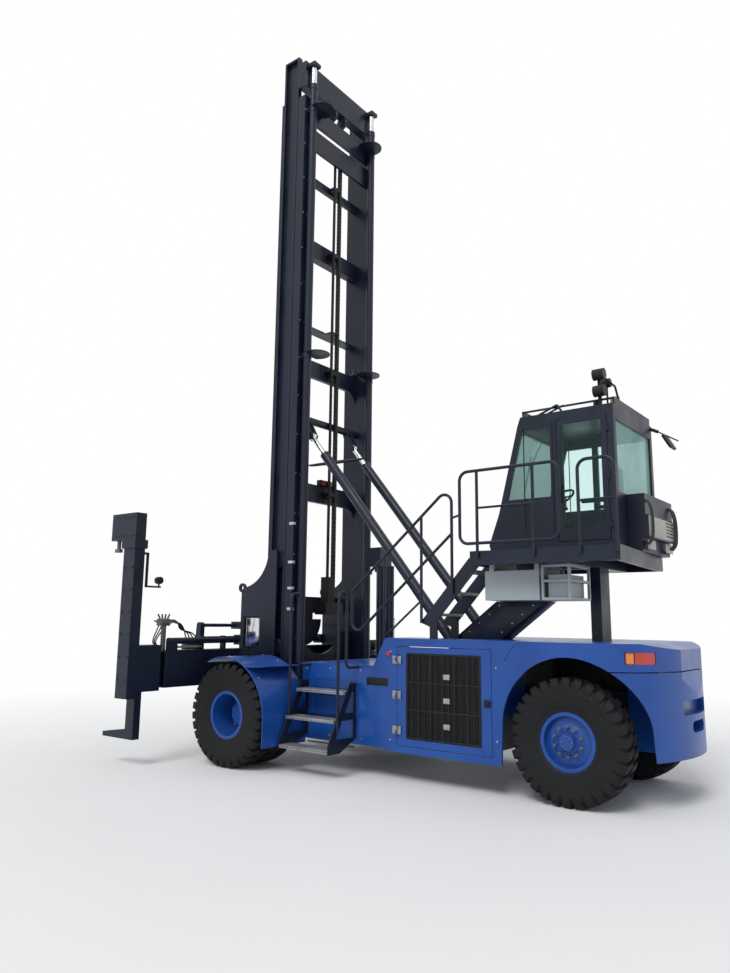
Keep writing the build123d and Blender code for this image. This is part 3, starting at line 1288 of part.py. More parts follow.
def hood(inner):
    """Sloped front, top plate with the well for the tilt cylinders, sides with door openings."""
    top = HOOD_TOP - SKIN
    front_foot = ahead(DECK_REAR) - FRAME_GAP
    slope_x = ahead(HOOD_SLOPE_X)
    arch_x = REAR_AXLE_X - ARCH_BEHIND
    outline = [
        (front_foot, SKIRT_FOOT),
        (front_foot, DECK_TOP),
        (slope_x, HOOD_TOP),
        *reversed(seam_curve(0)),
        (arch_x, COVER_FRONT_FOOT),
        (arch_x, PANEL_FOOT),
        (ahead(DOOR_FRONT), PANEL_FOOT),
    ]
    opening = block((ahead(DOOR_FRONT), ahead(DOOR_REAR)), (inner - OVERRUN, BODY_HALF_WIDTH + OVERRUN),
                    (DOOR_FOOT, DOOR_TOP))
    side = side_plate(outline, inner, BODY_HALF_WIDTH) - opening
    side -= arch_room(inner - OVERRUN, BODY_HALF_WIDTH + OVERRUN)
    for z in hood_hinge_heights():
        side += hinge_half(hood_hinge(), z, BODY_HALF_WIDTH, True, 1)
    well = (slope_x + SKIN, ahead(HOOD_WELL_REAR))
    lid = side_plate(outline, -inner, inner) & block((slope_x, ahead(COVER_LIP)), (-inner, inner), (top, HOOD_TOP))
    lid -= block(well, (-HOOD_WELL_HALF_WIDTH, HOOD_WELL_HALF_WIDTH), (top - OVERRUN, HOOD_TOP + OVERRUN))
    slope = [(front_foot, DECK_TOP), (slope_x, HOOD_TOP), (slope_x, top), (front_foot - SKIN, DECK_TOP)]
    panels = []
    for start, end in ((HOOD_WELL_HALF_WIDTH, inner), (-inner, -HOOD_WELL_HALF_WIDTH)):
        panels.append(side_plate(slope, start, end))
        panels.append(block((front_foot - SKIN, front_foot), (start, end), (RAIL_BOTTOM + RAIL_HEIGHT, DECK_TOP)))
    rear_wall = block((ahead(WELL_FRONT), ahead(WELL_FRONT) + SKIN),
                      (RAIL_INNER_Y + RAIL_WIDTH, inner), (RAIL_BOTTOM, top))
    write("hood", joined(side, mirrored(side), lid, *panels, rear_wall, mirrored(rear_wall)))


def hood_hinge():
    """Place of the left hood door's pin, as (x, y)."""
    return (ahead(DOOR_FRONT) - DOOR_GAP / 2, BODY_HALF_WIDTH + DOOR_HINGE_RADIUS)


def hood_hinge_heights():
    """Heights of the hinges of a hood door."""
    return [DOOR_FOOT + share * (DOOR_TOP - DOOR_FOOT) for share in DOOR_HINGE_SHARES]


def hood_doors(inner):
    """Outward doors, hinged at their front edges, with ribbed grilles."""
    x = (ahead(DOOR_FRONT) - DOOR_GAP, ahead(DOOR_REAR) + DOOR_GAP)
    z = (DOOR_FOOT + DOOR_GAP, DOOR_TOP - DOOR_GAP)
    leaf = block(x, (inner, BODY_HALF_WIDTH), z)
    grille_x = (ahead(DOOR_GRILLE_FRONT), ahead(DOOR_GRILLE_REAR))
    window = block(grille_x, (inner - OVERRUN, BODY_HALF_WIDTH + OVERRUN), (DOOR_GRILLE_FOOT, DOOR_GRILLE_TOP))
    leaf -= window
    for height in hood_hinge_heights():
        leaf += hinge_half(hood_hinge(), height, BODY_HALF_WIDTH, False, -1)
    write("hood_door_left", leaf)
    write("hood_door_right", mirrored(leaf))
    back = block(grille_x, (inner, BODY_HALF_WIDTH - GRILLE_DEPTH), (DOOR_GRILLE_FOOT, DOOR_GRILLE_TOP))
    ribs = []
    pitch = (grille_x[0] - grille_x[1] - GRILLE_RIB) / (GRILLE_RIB_COUNT - 1)
    for index in range(GRILLE_RIB_COUNT):
        start = grille_x[1] + index * pitch
        ribs.append(block((start, start + GRILLE_RIB), (BODY_HALF_WIDTH - GRILLE_DEPTH, BODY_HALF_WIDTH),
                          (DOOR_GRILLE_FOOT, DOOR_GRILLE_TOP)))
    grille = joined(back, *ribs)
    write("hood_grille_left", grille)
    write("hood_grille_right", mirrored(grille))


def tail_block(inset, front, z_low, z_high):
    """Block with the bowed plan of the tail, its round outside moved in by an inset."""
    corner_y = BODY_HALF_WIDTH - WEIGHT_CORNER
    reach = TAIL_BOW_RADIUS - WEIGHT_CORNER
    turn = asin(corner_y / reach)
    bow_x = TAIL_X + TAIL_BOW_RADIUS
    corner_x = bow_x - reach * cos(turn)
    bow = TAIL_BOW_RADIUS - inset
    corner = WEIGHT_CORNER - inset
    middle = (pi / 2 + pi - turn) / 2

    def mirror_pair(x, y):
        return (x, y, z_low), (x, -y, z_low)

    side, side_right = mirror_pair(corner_x, corner_y + corner)
    start, start_right = mirror_pair(front, corner_y + corner)
    bend, bend_right = mirror_pair(corner_x + corner * cos(middle), corner_y + corner * sin(middle))
    meet, meet_right = mirror_pair(bow_x - bow * cos(turn), bow * sin(turn))
    apex = (bow_x - bow, 0, z_low)
    edges = [
        Line(start, side),
        ThreePointArc(side, bend, meet),
        ThreePointArc(meet, apex, meet_right),
        ThreePointArc(meet_right, bend_right, side_right),
        Line(side_right, start_right),
        Line(start_right, start),
    ]
    return extrude(make_face(edges), amount=z_high - z_low, dir=(0, 0, 1))


def rear_cover(inner):
    """Shell over the steered wheels and the tail, on a step of the counterweight, with its lamps."""
    foot = WEIGHT_SEAM + COVER_SEAM
    arch_x = REAR_AXLE_X - ARCH_BEHIND
    start = ahead(COVER_FRONT)
    wide = BODY_HALF_WIDTH + OVERRUN
    profile = [
        *seam_curve(COVER_SEAM),
        (TAIL_X + COVER_DROP_LENGTH, HOOD_TOP),
        (TAIL_X + COVER_SET_BACK, HOOD_TOP - COVER_DROP),
        (TAIL_X + COVER_SET_BACK, foot),
        (arch_x, foot),
        (arch_x, COVER_FRONT_FOOT),
    ]
    inside = [
        (start + OVERRUN, foot - OVERRUN),
        (start + OVERRUN, HOOD_TOP - SKIN),
        (TAIL_X + COVER_DROP_LENGTH, HOOD_TOP - SKIN),
        (TAIL_X + COVER_SET_BACK + COVER_WALL, HOOD_TOP - COVER_DROP - SKIN),
        (TAIL_X + COVER_SET_BACK + COVER_WALL, foot - OVERRUN),
    ]
    shell = tail_block(0, start, foot, HOOD_TOP) & side_plate(profile, -wide, wide)
    room = tail_block(SKIN, start + OVERRUN, foot - OVERRUN, HOOD_TOP - SKIN) & side_plate(inside, -wide, wide)
    shell -= room
    for low, high in ((WEIGHT_CENTRE_HALF_WIDTH, wide), (-wide, -WEIGHT_CENTRE_HALF_WIDTH)):
        shell -= arch_room(low, high)
    lamp_x = (TAIL_X + LAMP_AHEAD, TAIL_X + LAMP_AHEAD + LAMP_LENGTH)
    lamp_z = (LAMP_TOP - LAMP_HEIGHT, LAMP_TOP)
    lamps = []
    for side in (1, -1):
        recess = block(lamp_x, (0, side * wide), lamp_z)
        shell -= recess - tail_block(LAMP_DEPTH, lamp_x[1] + OVERRUN, lamp_z[0] - OVERRUN, lamp_z[1] + OVERRUN)
        lamp_room = block((lamp_x[0] + FRAME_GAP, lamp_x[1] - FRAME_GAP), (0, side * wide),
                          (lamp_z[0] + FRAME_GAP, lamp_z[1] - FRAME_GAP))
        outside = tail_block(LAMP_RIM, lamp_x[1] + OVERRUN, *lamp_z)
        lamp = (lamp_room & outside) - tail_block(LAMP_DEPTH - FRAME_GAP, lamp_x[1] + 2 * OVERRUN,
                                                  lamp_z[0] - OVERRUN, lamp_z[1] + OVERRUN)
        lamps.append(lamp)
    write("rear_cover", shell)
    write("tail_lamps", lamps)


def fenders():
    """Curved sheets over the twin wheels, each with a flat shelf behind."""
    x, z = FRONT_AXLE_X, TYRE_RADIUS
    outer = FENDER_RADIUS
    inner = FENDER_RADIUS - FENDER_SHEET
    start = radians(FENDER_START_DEG)
    middle = (start + pi) / 2

    def on_arc(radius, angle):
        return (x + radius * cos(angle), z + radius * sin(angle))

    edges = [
        ThreePointArc(on_arc(outer, start), on_arc(outer, middle), on_arc(outer, pi)),
        Line(on_arc(outer, pi), (x - outer, FENDER_TAIL_FOOT)),
        Line((x - outer, FENDER_TAIL_FOOT), (x - inner, FENDER_TAIL_FOOT)),
        Line((x - inner, FENDER_TAIL_FOOT), on_arc(inner, pi)),
        ThreePointArc(on_arc(inner, pi), on_arc(inner, middle), on_arc(inner, start)),
        Line(on_arc(inner, start), on_arc(outer, start)),
    ]
    face = Plane(origin=(0, BODY_HALF_WIDTH, 0), x_dir=(1, 0, 0), z_dir=(0, -1, 0)) * make_face(edges)
    sheet = extrude(face, amount=FENDER_OUTER_Y - BODY_HALF_WIDTH, dir=(0, 1, 0))
    shelf_front = x - sqrt(inner ** 2 - (FENDER_SHELF_Z - z) ** 2)
    shelf_rear = ahead(DECK_FRONT) + 2 * RUN_GAP
    cut = FENDER_OUTER_Y - FENDER_SHELF_Y
    shelf = [
        (shelf_front, BODY_HALF_WIDTH),
        (shelf_front, FENDER_OUTER_Y),
        (shelf_rear + cut, FENDER_OUTER_Y),
        (shelf_rear + cut / 2, FENDER_SHELF_Y),
        (shelf_rear, BODY_HALF_WIDTH + 2 * cut),
        (shelf_rear, BODY_HALF_WIDTH),
    ]
    plate = flat_plate(shelf, FENDER_SHELF_Z, FENDER_SHELF_Z + FENDER_SHEET)
    write("front_fenders", both(joined(sheet, plate)))


def step_edge(z):
    """Y of the slanted outer edge of the step side plates at a height."""
    share = (STEP_TOP - z) / (STEP_TOP - STEP_TOE_Z)
    return min(STEP_TOE_OUTER_Y, STEP_TOP_OUTER_Y + share * (STEP_TOE_OUTER_Y - STEP_TOP_OUTER_Y))


def steps():
    """Side plates with two windows each and three treads beside the deck, on the left."""
    heel_y = BODY_HALF_WIDTH + 3 * STEP_STRIP
    outline = [
        (BODY_HALF_WIDTH, STEP_TOP),
        (STEP_TOP_OUTER_Y, STEP_TOP),
        (STEP_TOE_OUTER_Y, STEP_TOE_Z),
        (STEP_TOE_OUTER_Y, STEP_FOOT),
        (heel_y, STEP_FOOT),
        (BODY_HALF_WIDTH, STEP_HEEL_Z),
    ]
    height = STEP_TOP - STEP_FOOT
    inner = BODY_HALF_WIDTH + STEP_LEG
    pieces = []
    for x in (STEP_FRONT, STEP_REAR - STEP_SIDE):
        plate = cross_plate(outline, ahead(x), ahead(x + STEP_SIDE))
        for low_share, high_share in STEP_WINDOW_SHARES:
            low = STEP_FOOT + low_share * height
            high = STEP_FOOT + high_share * height
            window = [
                (inner, low),
                (inner, high),
                (step_edge(high) - STEP_STRIP, high),
                (step_edge(low) - STEP_STRIP, low),
            ]
            plate -= cross_plate(window, ahead(x) - OVERRUN, ahead(x + STEP_SIDE) + OVERRUN)
        pieces.append(plate)
    treads = []
    for share in STEP_HEIGHT_SHARES:
        z = share * DECK_TOP
        outer = min(STEP_TOE_OUTER_Y, step_edge(z) + STEP_LEG)
        treads.append(block((ahead(STEP_FRONT) - FRAME_GAP, ahead(STEP_REAR) + FRAME_GAP),
                            (outer - STEP_TREAD_LENGTH, outer), (z - STEP_TREAD, z)))
    return pieces, treads


def access():
    """Step sides with stair stringers, all treads, and the hand rails."""
    frames, treads = steps()
    foot = (ahead(STAIR_FOOT_X), STAIR_FOOT_Z)
    end_x = ahead(PLATFORM_FRONT) + FRAME_GAP
    top_z = PLATFORM_TOP - PLATFORM_BEAM

    def edge_z(x):
        return foot[1] + (foot[0] - x) * STAIR_SLOPE_SHARE

    outline = [
        foot,
        (foot[0] - (top_z - foot[1]) / STAIR_SLOPE_SHARE, top_z),
        (end_x, top_z),
        (end_x, edge_z(end_x) - STAIR_DEPTH),
        (foot[0] - STAIR_FOOT_LENGTH, edge_z(foot[0] - STAIR_FOOT_LENGTH) - STAIR_DEPTH),
    ]
    shoe_x = (foot[0] - STAIR_SHOE_BACK, foot[0] - STAIR_SHOE_BACK - STAIR_SHOE_LENGTH)
    for y in (STAIR_NEAR_Y, STAIR_FAR_Y):
        plate = side_plate(outline, y, y + STAIR_PLATE)
        shoe = block(shoe_x, (y, y + STAIR_PLATE), (HOOD_TOP, STAIR_LEG_TOP))
        frames.append(joined(plate, shoe))
    for share in STAIR_HEIGHT_SHARES:
        z = HOOD_TOP + share * (PLATFORM_TOP - HOOD_TOP)
        middle = foot[0] - (z + STAIR_DEPTH / 2 - foot[1]) / STAIR_SLOPE_SHARE
        treads.append(block((middle + STAIR_TREAD_LENGTH / 2, middle - STAIR_TREAD_LENGTH / 2),
                            (STAIR_FAR_Y + STAIR_PLATE + FRAME_GAP, STAIR_NEAR_Y - FRAME_GAP),
                            (z - STAIR_TREAD, z)))
    write("step_frames", frames)
    write("treads", treads)
    write("handrails", grab_hoops() + [joined(stair_rail(), platform_hoop(), rail_link()), rear_hoop()])


def grab_hoops():
    """Two upright hoops beside the steps."""
    hoops = []
    tread_top = STEP_HEIGHT_SHARES[1] * DECK_TOP
    reach = RAIL_TUBE_RADIUS + FRAME_GAP
    for x, foot in ((STEP_FRONT - reach, tread_top + FRAME_GAP), (STEP_REAR - STEP_SIDE - reach, GRAB_FOOT)):
        points = [
            (ahead(x), GRAB_OUTER_Y, foot),
            (ahead(x), GRAB_OUTER_Y, GRAB_TOP),
            (ahead(x), GRAB_INNER_Y, GRAB_TOP),
            (ahead(x), GRAB_INNER_Y, GRAB_ANCHOR_Z),
            (ahead(x), BODY_HALF_WIDTH + FRAME_GAP, GRAB_ANCHOR_Z),
        ]
        hoops.append(pipe(points, RAIL_TUBE_RADIUS, 2 * RAIL_BEND / 3))
    return hoops


def stair_rail():
    """Closed rail over the stairs with its posts and a short low rail."""
    y = STAIR_NEAR_Y + STAIR_PLATE + RAIL_TUBE_RADIUS + FRAME_GAP
    rear, front = ahead(STAIR_POST_REAR), ahead(STAIR_RAIL_FRONT)
    drop = (STAIR_RAIL_TOP - STAIR_RAIL_FRONT_TOP) / (front - rear)
    middle = (front, y, (STAIR_RAIL_FRONT_TOP + STAIR_RAIL_FRONT_FOOT) / 2)
    upper = [(rear, y, STAIR_POST_REAR_FOOT), (rear, y, STAIR_RAIL_TOP), (front, y, STAIR_RAIL_FRONT_TOP), middle]
    post, low = ahead(STAIR_POST_FRONT), ahead(STAIR_POST_LOW)
    climb = (STAIR_RAIL_MID - STAIR_RAIL_FRONT_FOOT) / (front - rear)
    joint = (low, y, STAIR_RAIL_FRONT_FOOT + (front - low) * climb)
    lower = [middle, (front, y, STAIR_RAIL_FRONT_FOOT), joint]
    slope_share = (ahead(DECK_REAR) - low + RAIL_TUBE_RADIUS) / (DECK_REAR - HOOD_SLOPE_X)
    low_foot = DECK_TOP + slope_share * (HOOD_TOP - DECK_TOP) + FRAME_GAP
    return joined(
        pipe(upper, RAIL_TUBE_RADIUS, RAIL_BEND),
        pipe(lower, RAIL_TUBE_RADIUS, RAIL_BEND),
        bar(joint, (rear, y, STAIR_RAIL_MID), RAIL_POST_RADIUS),
        bar((post, y, STAIR_POST_FRONT_FOOT), (post, y, STAIR_RAIL_TOP - (post - rear) * drop), RAIL_POST_RADIUS),
        bar((low, y, low_foot), (low, y, STAIR_RAIL_TOP - (low - rear) * drop), RAIL_POST_RADIUS),
        bar((post, y, STAIR_LOW_RAIL_TOP), (low, y, HOOD_TOP), RAIL_LINK_RADIUS),
    )


def platform_rail_y():
    """Y of the rails along the near edge of the platform."""
    return PLATFORM_EDGE_Y + RAIL_TUBE_RADIUS + FRAME_GAP


def platform_hoop():
    """Closed hoop beside the front half of the cab, on two posts."""
    y = platform_rail_y()
    front, rear = ahead(HOOP_FRONT), ahead(HOOP_REAR)
    split = (HOOP_MID + HOOP_TOP) / 2
    upper = [(front, y, split), (front, y, HOOP_TOP), (rear, y, HOOP_TOP), (rear, y, split)]
    lower = [(front, y, split), (front, y, HOOP_LOW), (rear, y, HOOP_LOW), (rear, y, split)]
    pieces = [pipe(points, RAIL_TUBE_RADIUS, RAIL_BEND) for points in (upper, lower)]
    posts = (ahead(HOOP_POST_FRONT), ahead(HOOP_POST_REAR))
    foot = PLATFORM_TOP - PLATFORM_DEPTH / 2
    pieces += [bar((x, y, foot), (x, y, HOOP_TOP), RAIL_POST_RADIUS) for x in posts]
    pieces.append(bar((posts[0], y, HOOP_MID), (posts[1], y, HOOP_MID), RAIL_LINK_RADIUS))
    return joined(*pieces)


def rail_link():
    """Short bar from the stair rail to the platform's hoop."""
    stair_y = STAIR_NEAR_Y + STAIR_PLATE + RAIL_TUBE_RADIUS + FRAME_GAP
    return bar((ahead(STAIR_POST_REAR), stair_y, RAIL_LINK_Z), (ahead(HOOP_FRONT), platform_rail_y(), RAIL_LINK_Z),
               RAIL_LINK_RADIUS)


def rear_hoop():
    """Hoop at the rear corner of the platform with a middle rail."""
    y = platform_rail_y()
    front, rear = ahead(REAR_HOOP_FRONT), ahead(REAR_HOOP_REAR)
    foot = PLATFORM_TOP - PLATFORM_DEPTH / 2
    points = [(front, y, foot), (front, y, REAR_HOOP_TOP), (rear, y, REAR_HOOP_TOP), (rear, y, foot)]
    middle = bar((front, y, REAR_HOOP_MID), (rear, y, REAR_HOOP_MID), RAIL_LINK_RADIUS)
    return joined(pipe(points, RAIL_TUBE_RADIUS, RAIL_BEND), middle)


def platform():
    """Plate with edge beams on a column that stands on the rear cover, and the cabinets under it."""
    low = PLATFORM_TOP - PLATFORM_DEPTH
    under = PLATFORM_TOP - PLATFORM_PLATE
    front, rear = ahead(PLATFORM_FRONT), ahead(PLATFORM_REAR)
    near, far = PLATFORM_EDGE_Y, PLATFORM_FAR_Y

    def plan(inset):
        return [
            (front - inset, far + inset),
            (front - inset, near - inset),
            (rear + inset, near - inset),
            (rear + inset + PLATFORM_CORNER, far + inset),
        ]

    shell = flat_plate(plan(0), low, PLATFORM_TOP)
    hollow = flat_plate(plan(PLATFORM_BEAM), low - OVERRUN, under)
    column_x = (ahead(COLUMN_FRONT), ahead(COLUMN_REAR))
    column = block(column_x, (-COLUMN_HALF_WIDTH, COLUMN_HALF_WIDTH), (HOOD_TOP + FRAME_GAP, under))
    beam = block((column_x[0] + PLATFORM_BEAM, column_x[1] - PLATFORM_BEAM), (far, near), (low, under))
    write("cab_platform", joined(shell - hollow, column, beam))

    cabinet_x = (ahead(CABINET_FRONT), ahead(CABINET_REAR))
    cabinet = block(cabinet_x, (CABINET_FAR_Y, CABINET_NEAR_Y), (CABINET_FOOT, CABINET_TOP))
    hangers = [block((x, x + CABINET_HANGER), (CABINET_FAR_Y, CABINET_NEAR_Y), (CABINET_TOP, under - FRAME_GAP))
               for x in (cabinet_x[1], cabinet_x[0] - 2 * CABINET_HANGER)]
    write("platform_cabinets", joined(cabinet, *hangers), rack(low - FRAME_GAP))


def rack(top):
    """Open frame with a shelf that hangs under the platform's cross beam."""
    x = (ahead(RACK_REAR), ahead(RACK_FRONT))
    y = (CABINET_FAR_Y, CABINET_NEAR_Y)
    bars = []
    for z in (CABINET_FOOT, (CABINET_FOOT + top) / 2, top - RACK_BAR):
        for edge in (x[0], x[1] - RACK_BAR):
            bars.append(block((edge, edge + RACK_BAR), y, (z, z + RACK_BAR)))
        for edge in (y[0], y[1] - RACK_BAR):
            bars.append(block(x, (edge, edge + RACK_BAR), (z, z + RACK_BAR)))
    for edge_x in (x[0], x[1] - RACK_BAR):
        for edge_y in (y[0], y[1] - RACK_BAR):
            bars.append(block((edge_x, edge_x + RACK_BAR), (edge_y, edge_y + RACK_BAR), (CABINET_FOOT, top)))
    shelf = block(x, y, (CABINET_FOOT, CABINET_FOOT + RACK_BAR / 3))
    unit = block((x[0] + 2 * RACK_BAR, x[1] - 2 * RACK_BAR), (y[0] + 2 * RACK_BAR, y[1] - 2 * RACK_BAR),
                 (CABINET_FOOT, CABINET_TOP - 2 * RACK_BAR))
    return joined(*bars, shelf, unit)


def cab():
    """Hollow cab: floor, nose, posts, roof, glass and the hinged door."""
    half = CAB_HALF_WIDTH
    wall = CAB_WALL
    floor = (PLATFORM_TOP + FRAME_GAP, CAB_FLOOR + CAB_FLOOR_PLATE)
    nose = (ahead(CAB_NOSE_X), CAB_NOSE_FOOT)
    sill = (ahead(CAB_SILL_X), CAB_SILL_Z)
    brow = (ahead(CAB_BROW_X), CAB_BROW_Z)
    rear = ahead(CAB_REAR)
    profile = [
        (nose[0] - wall, PLATFORM_TOP + FRAME_GAP),
        nose,
        sill,
        brow,
        (brow[0] - wall, CAB_ROOF_Z),
        (rear, CAB_ROOF_Z),
        (rear, PLATFORM_TOP + FRAME_GAP),
    ]
    body = side_plate(profile, -half, half)
    inner_profile = [
        (nose[0] - 2 * wall, floor[1]),
        (nose[0] - wall, CAB_NOSE_FOOT + 2 * wall),
        (sill[0] - wall, CAB_SILL_Z),
        (brow[0] - wall, CAB_BROW_Z - CAB_ROOF_PLATE),
        (brow[0] - 3 * wall, CAB_ROOF_Z - CAB_ROOF_PLATE),
        (rear + wall, CAB_ROOF_Z - CAB_ROOF_PLATE),
        (rear + wall, floor[1]),
    ]
    body -= side_plate(inner_profile, wall - half, half - wall)
    lean = (brow[0] - sill[0]) / (brow[1] - sill[1])
    pane_low = CAB_SILL_Z + CAB_POST
    pane_high = CAB_BROW_Z - CAB_POST

    def screen_x(z):
        return sill[0] + lean * (z - sill[1])

    screen = [
        (screen_x(pane_low) + OVERRUN, pane_low),
        (screen_x(pane_high) + OVERRUN, pane_high),
        (screen_x(pane_high) - 2 * wall, pane_high),
        (screen_x(pane_low) - 2 * wall, pane_low),
    ]
    body -= side_plate(screen, CAB_POST - half, half - CAB_POST)
    b_post = ahead(CAB_B_POST)
    door_x = (b_post - CAB_POST / 2, ahead(CAB_DOOR_REAR))
    door_z = (floor[1], CAB_ROOF_Z - CAB_ROOF_PLATE - CAB_POST / 2)
    side_cut = block(door_x, (half - wall - OVERRUN, half + OVERRUN), door_z)
    window_low = CAB_WINDOW_Z
    front_window = [
        (screen_x(window_low) - CAB_POST, window_low),
        (screen_x(pane_high) - CAB_POST, pane_high),
        (b_post + CAB_POST / 2, pane_high),
        (b_post + CAB_POST / 2, window_low),
    ]
    window_y = (half - wall - OVERRUN, half + OVERRUN)
    body -= side_cut
    body -= side_plate(front_window, *window_y)
    body -= mirrored(side_plate(front_window, *window_y))
    right_window = block((door_x[0], rear + 2 * wall), (-half - OVERRUN, wall - half + OVERRUN),
                         (window_low, pane_high))
    rear_window = block((rear - OVERRUN, rear + wall + OVERRUN), (2 * wall - half, half - 2 * wall),
                        (window_low, pane_high))
    body -= right_window
    body -= rear_window
    hinge = (door_x[1], half + DOOR_HINGE_RADIUS)
    heights = [door_z[0] + share * (door_z[1] - door_z[0]) for share in DOOR_HINGE_SHARES]
    for z in heights:
        body += hinge_half(hinge, z, half, True, -1)
    write("cab_shell", body)

    inset = wall / 2
    pane = GLASS
    front_pane = [
        (screen_x(pane_low) - inset, pane_low + FRAME_GAP),
        (screen_x(pane_high) - inset, pane_high - FRAME_GAP),
        (screen_x(pane_high) - inset - pane, pane_high - FRAME_GAP),
        (screen_x(pane_low) - inset - pane, pane_low + FRAME_GAP),
    ]
    panes = [side_plate(front_pane, CAB_POST - half + FRAME_GAP, half - CAB_POST - FRAME_GAP)]
    trim = FRAME_GAP
    side_outline = [
        (screen_x(window_low) - CAB_POST - trim, window_low + trim),
        (screen_x(pane_high) - CAB_POST - trim, pane_high - trim),
        (b_post + CAB_POST / 2 + trim, pane_high - trim),
        (b_post + CAB_POST / 2 + trim, window_low + trim),
    ]
    side_pane = side_plate(side_outline, half - inset - pane, half - inset)
    panes += [side_pane, mirrored(side_pane)]
    panes.append(block((door_x[0] - trim, rear + 2 * wall + trim), (inset - half, inset + pane - half),
                       (window_low + trim, pane_high - trim)))
    panes.append(block((rear + inset, rear + inset + pane), (2 * wall - half + trim, half - 2 * wall - trim),
                       (window_low + trim, pane_high - trim)))
    write("cab_glass", panes)

    gap = DOOR_LEAF_GAP
    leaf_x = (door_x[0] - gap, door_x[1] + gap)
    leaf_z = (door_z[0] + gap, door_z[1] - gap)
    leaf = block(leaf_x, (half - wall, half), leaf_z)
    light = ((leaf_x[0] - DOOR_FRAME, leaf_x[1] + DOOR_FRAME), (leaf_z[0] + DOOR_KICK, leaf_z[1] - DOOR_FRAME))
    leaf -= block(light[0], (half - wall - OVERRUN, half + OVERRUN), light[1])
    for z in heights:
        leaf += hinge_half(hinge, z, half, False, 1)
    write("cab_door", leaf)
    door_pane = block((light[0][0] - trim, light[0][1] + trim), (half - inset - pane, half - inset),
                      (light[1][0] + trim, light[1][1] - trim))
    write("cab_door_glass", door_pane)
    cab_inside(floor[1])


def hinge_half(hinge, z, wall_y, carrier, run):
    """Half of a hinge: the carrier's pin with its foot, or the leaf's sleeve above it; run tells the strap's way."""
    x, y = hinge
    foot_z = (z - DOOR_HINGE_LENGTH / 2, z - FRAME_GAP) if carrier else (z, z + DOOR_HINGE_LENGTH / 2)
    strap = block((x, x + run * 2 * DOOR_HINGE_RADIUS), (wall_y, y), foot_z)
    sleeve = bar((x, y, foot_z[0]), (x, y, foot_z[1]), DOOR_HINGE_RADIUS)
    if carrier:
        return joined(strap, sleeve, bar((x, y, foot_z[0]), (x, y, z + DOOR_HINGE_LENGTH / 2), DOOR_HINGE_PIN))
    pin = bar((x, y, foot_z[0] - OVERRUN), (x, y, foot_z[1] + OVERRUN), DOOR_HINGE_PIN + FRAME_GAP)
    return joined(strap, sleeve) - pin


def cab_inside(floor):
    """Seat with headrest, and the steering console."""
    x = ahead(SEAT_X)
    half = SEAT_WIDTH / 2
    cushion_low = SEAT_TOP - SEAT_CUSHION
    cushion = block((x - SEAT_LENGTH / 2, x + SEAT_LENGTH / 2), (-half, half), (cushion_low, SEAT_TOP))
    back_x = (x - SEAT_LENGTH / 2 - SEAT_BACK, x - SEAT_LENGTH / 2)
    back = block(back_x, (-half, half), (cushion_low, SEAT_TOP + SEAT_BACK_HEIGHT))
    head_low = SEAT_TOP + SEAT_BACK_HEIGHT
    head = block(back_x, (-HEADREST_WIDTH / 2, HEADREST_WIDTH / 2), (head_low, head_low + HEADREST_HEIGHT))
    write("cab_seat", joined(cushion, back, head))
    base_half = SEAT_BASE_WIDTH / 2
    base = block((x - base_half, x + base_half), (-base_half, base_half), (floor + FRAME_GAP, cushion_low - FRAME_GAP))
    console_x = ahead(CONSOLE_X)
    column = block((console_x - CONSOLE_LENGTH / 2, console_x + CONSOLE_LENGTH / 2),
                   (-CONSOLE_WIDTH / 2, CONSOLE_WIDTH / 2), (floor + FRAME_GAP, CONSOLE_TOP))
    wheel = Pos(console_x, 0, CONSOLE_TOP + WHEEL_TUBE) * Torus(WHEEL_RADIUS, WHEEL_TUBE)
    spoke = block((console_x - WHEEL_RADIUS, console_x + WHEEL_RADIUS), (-WHEEL_TUBE, WHEEL_TUBE),
                  (CONSOLE_TOP, CONSOLE_TOP + 2 * WHEEL_TUBE))
    write("cab_console", base, joined(column, wheel, spoke))


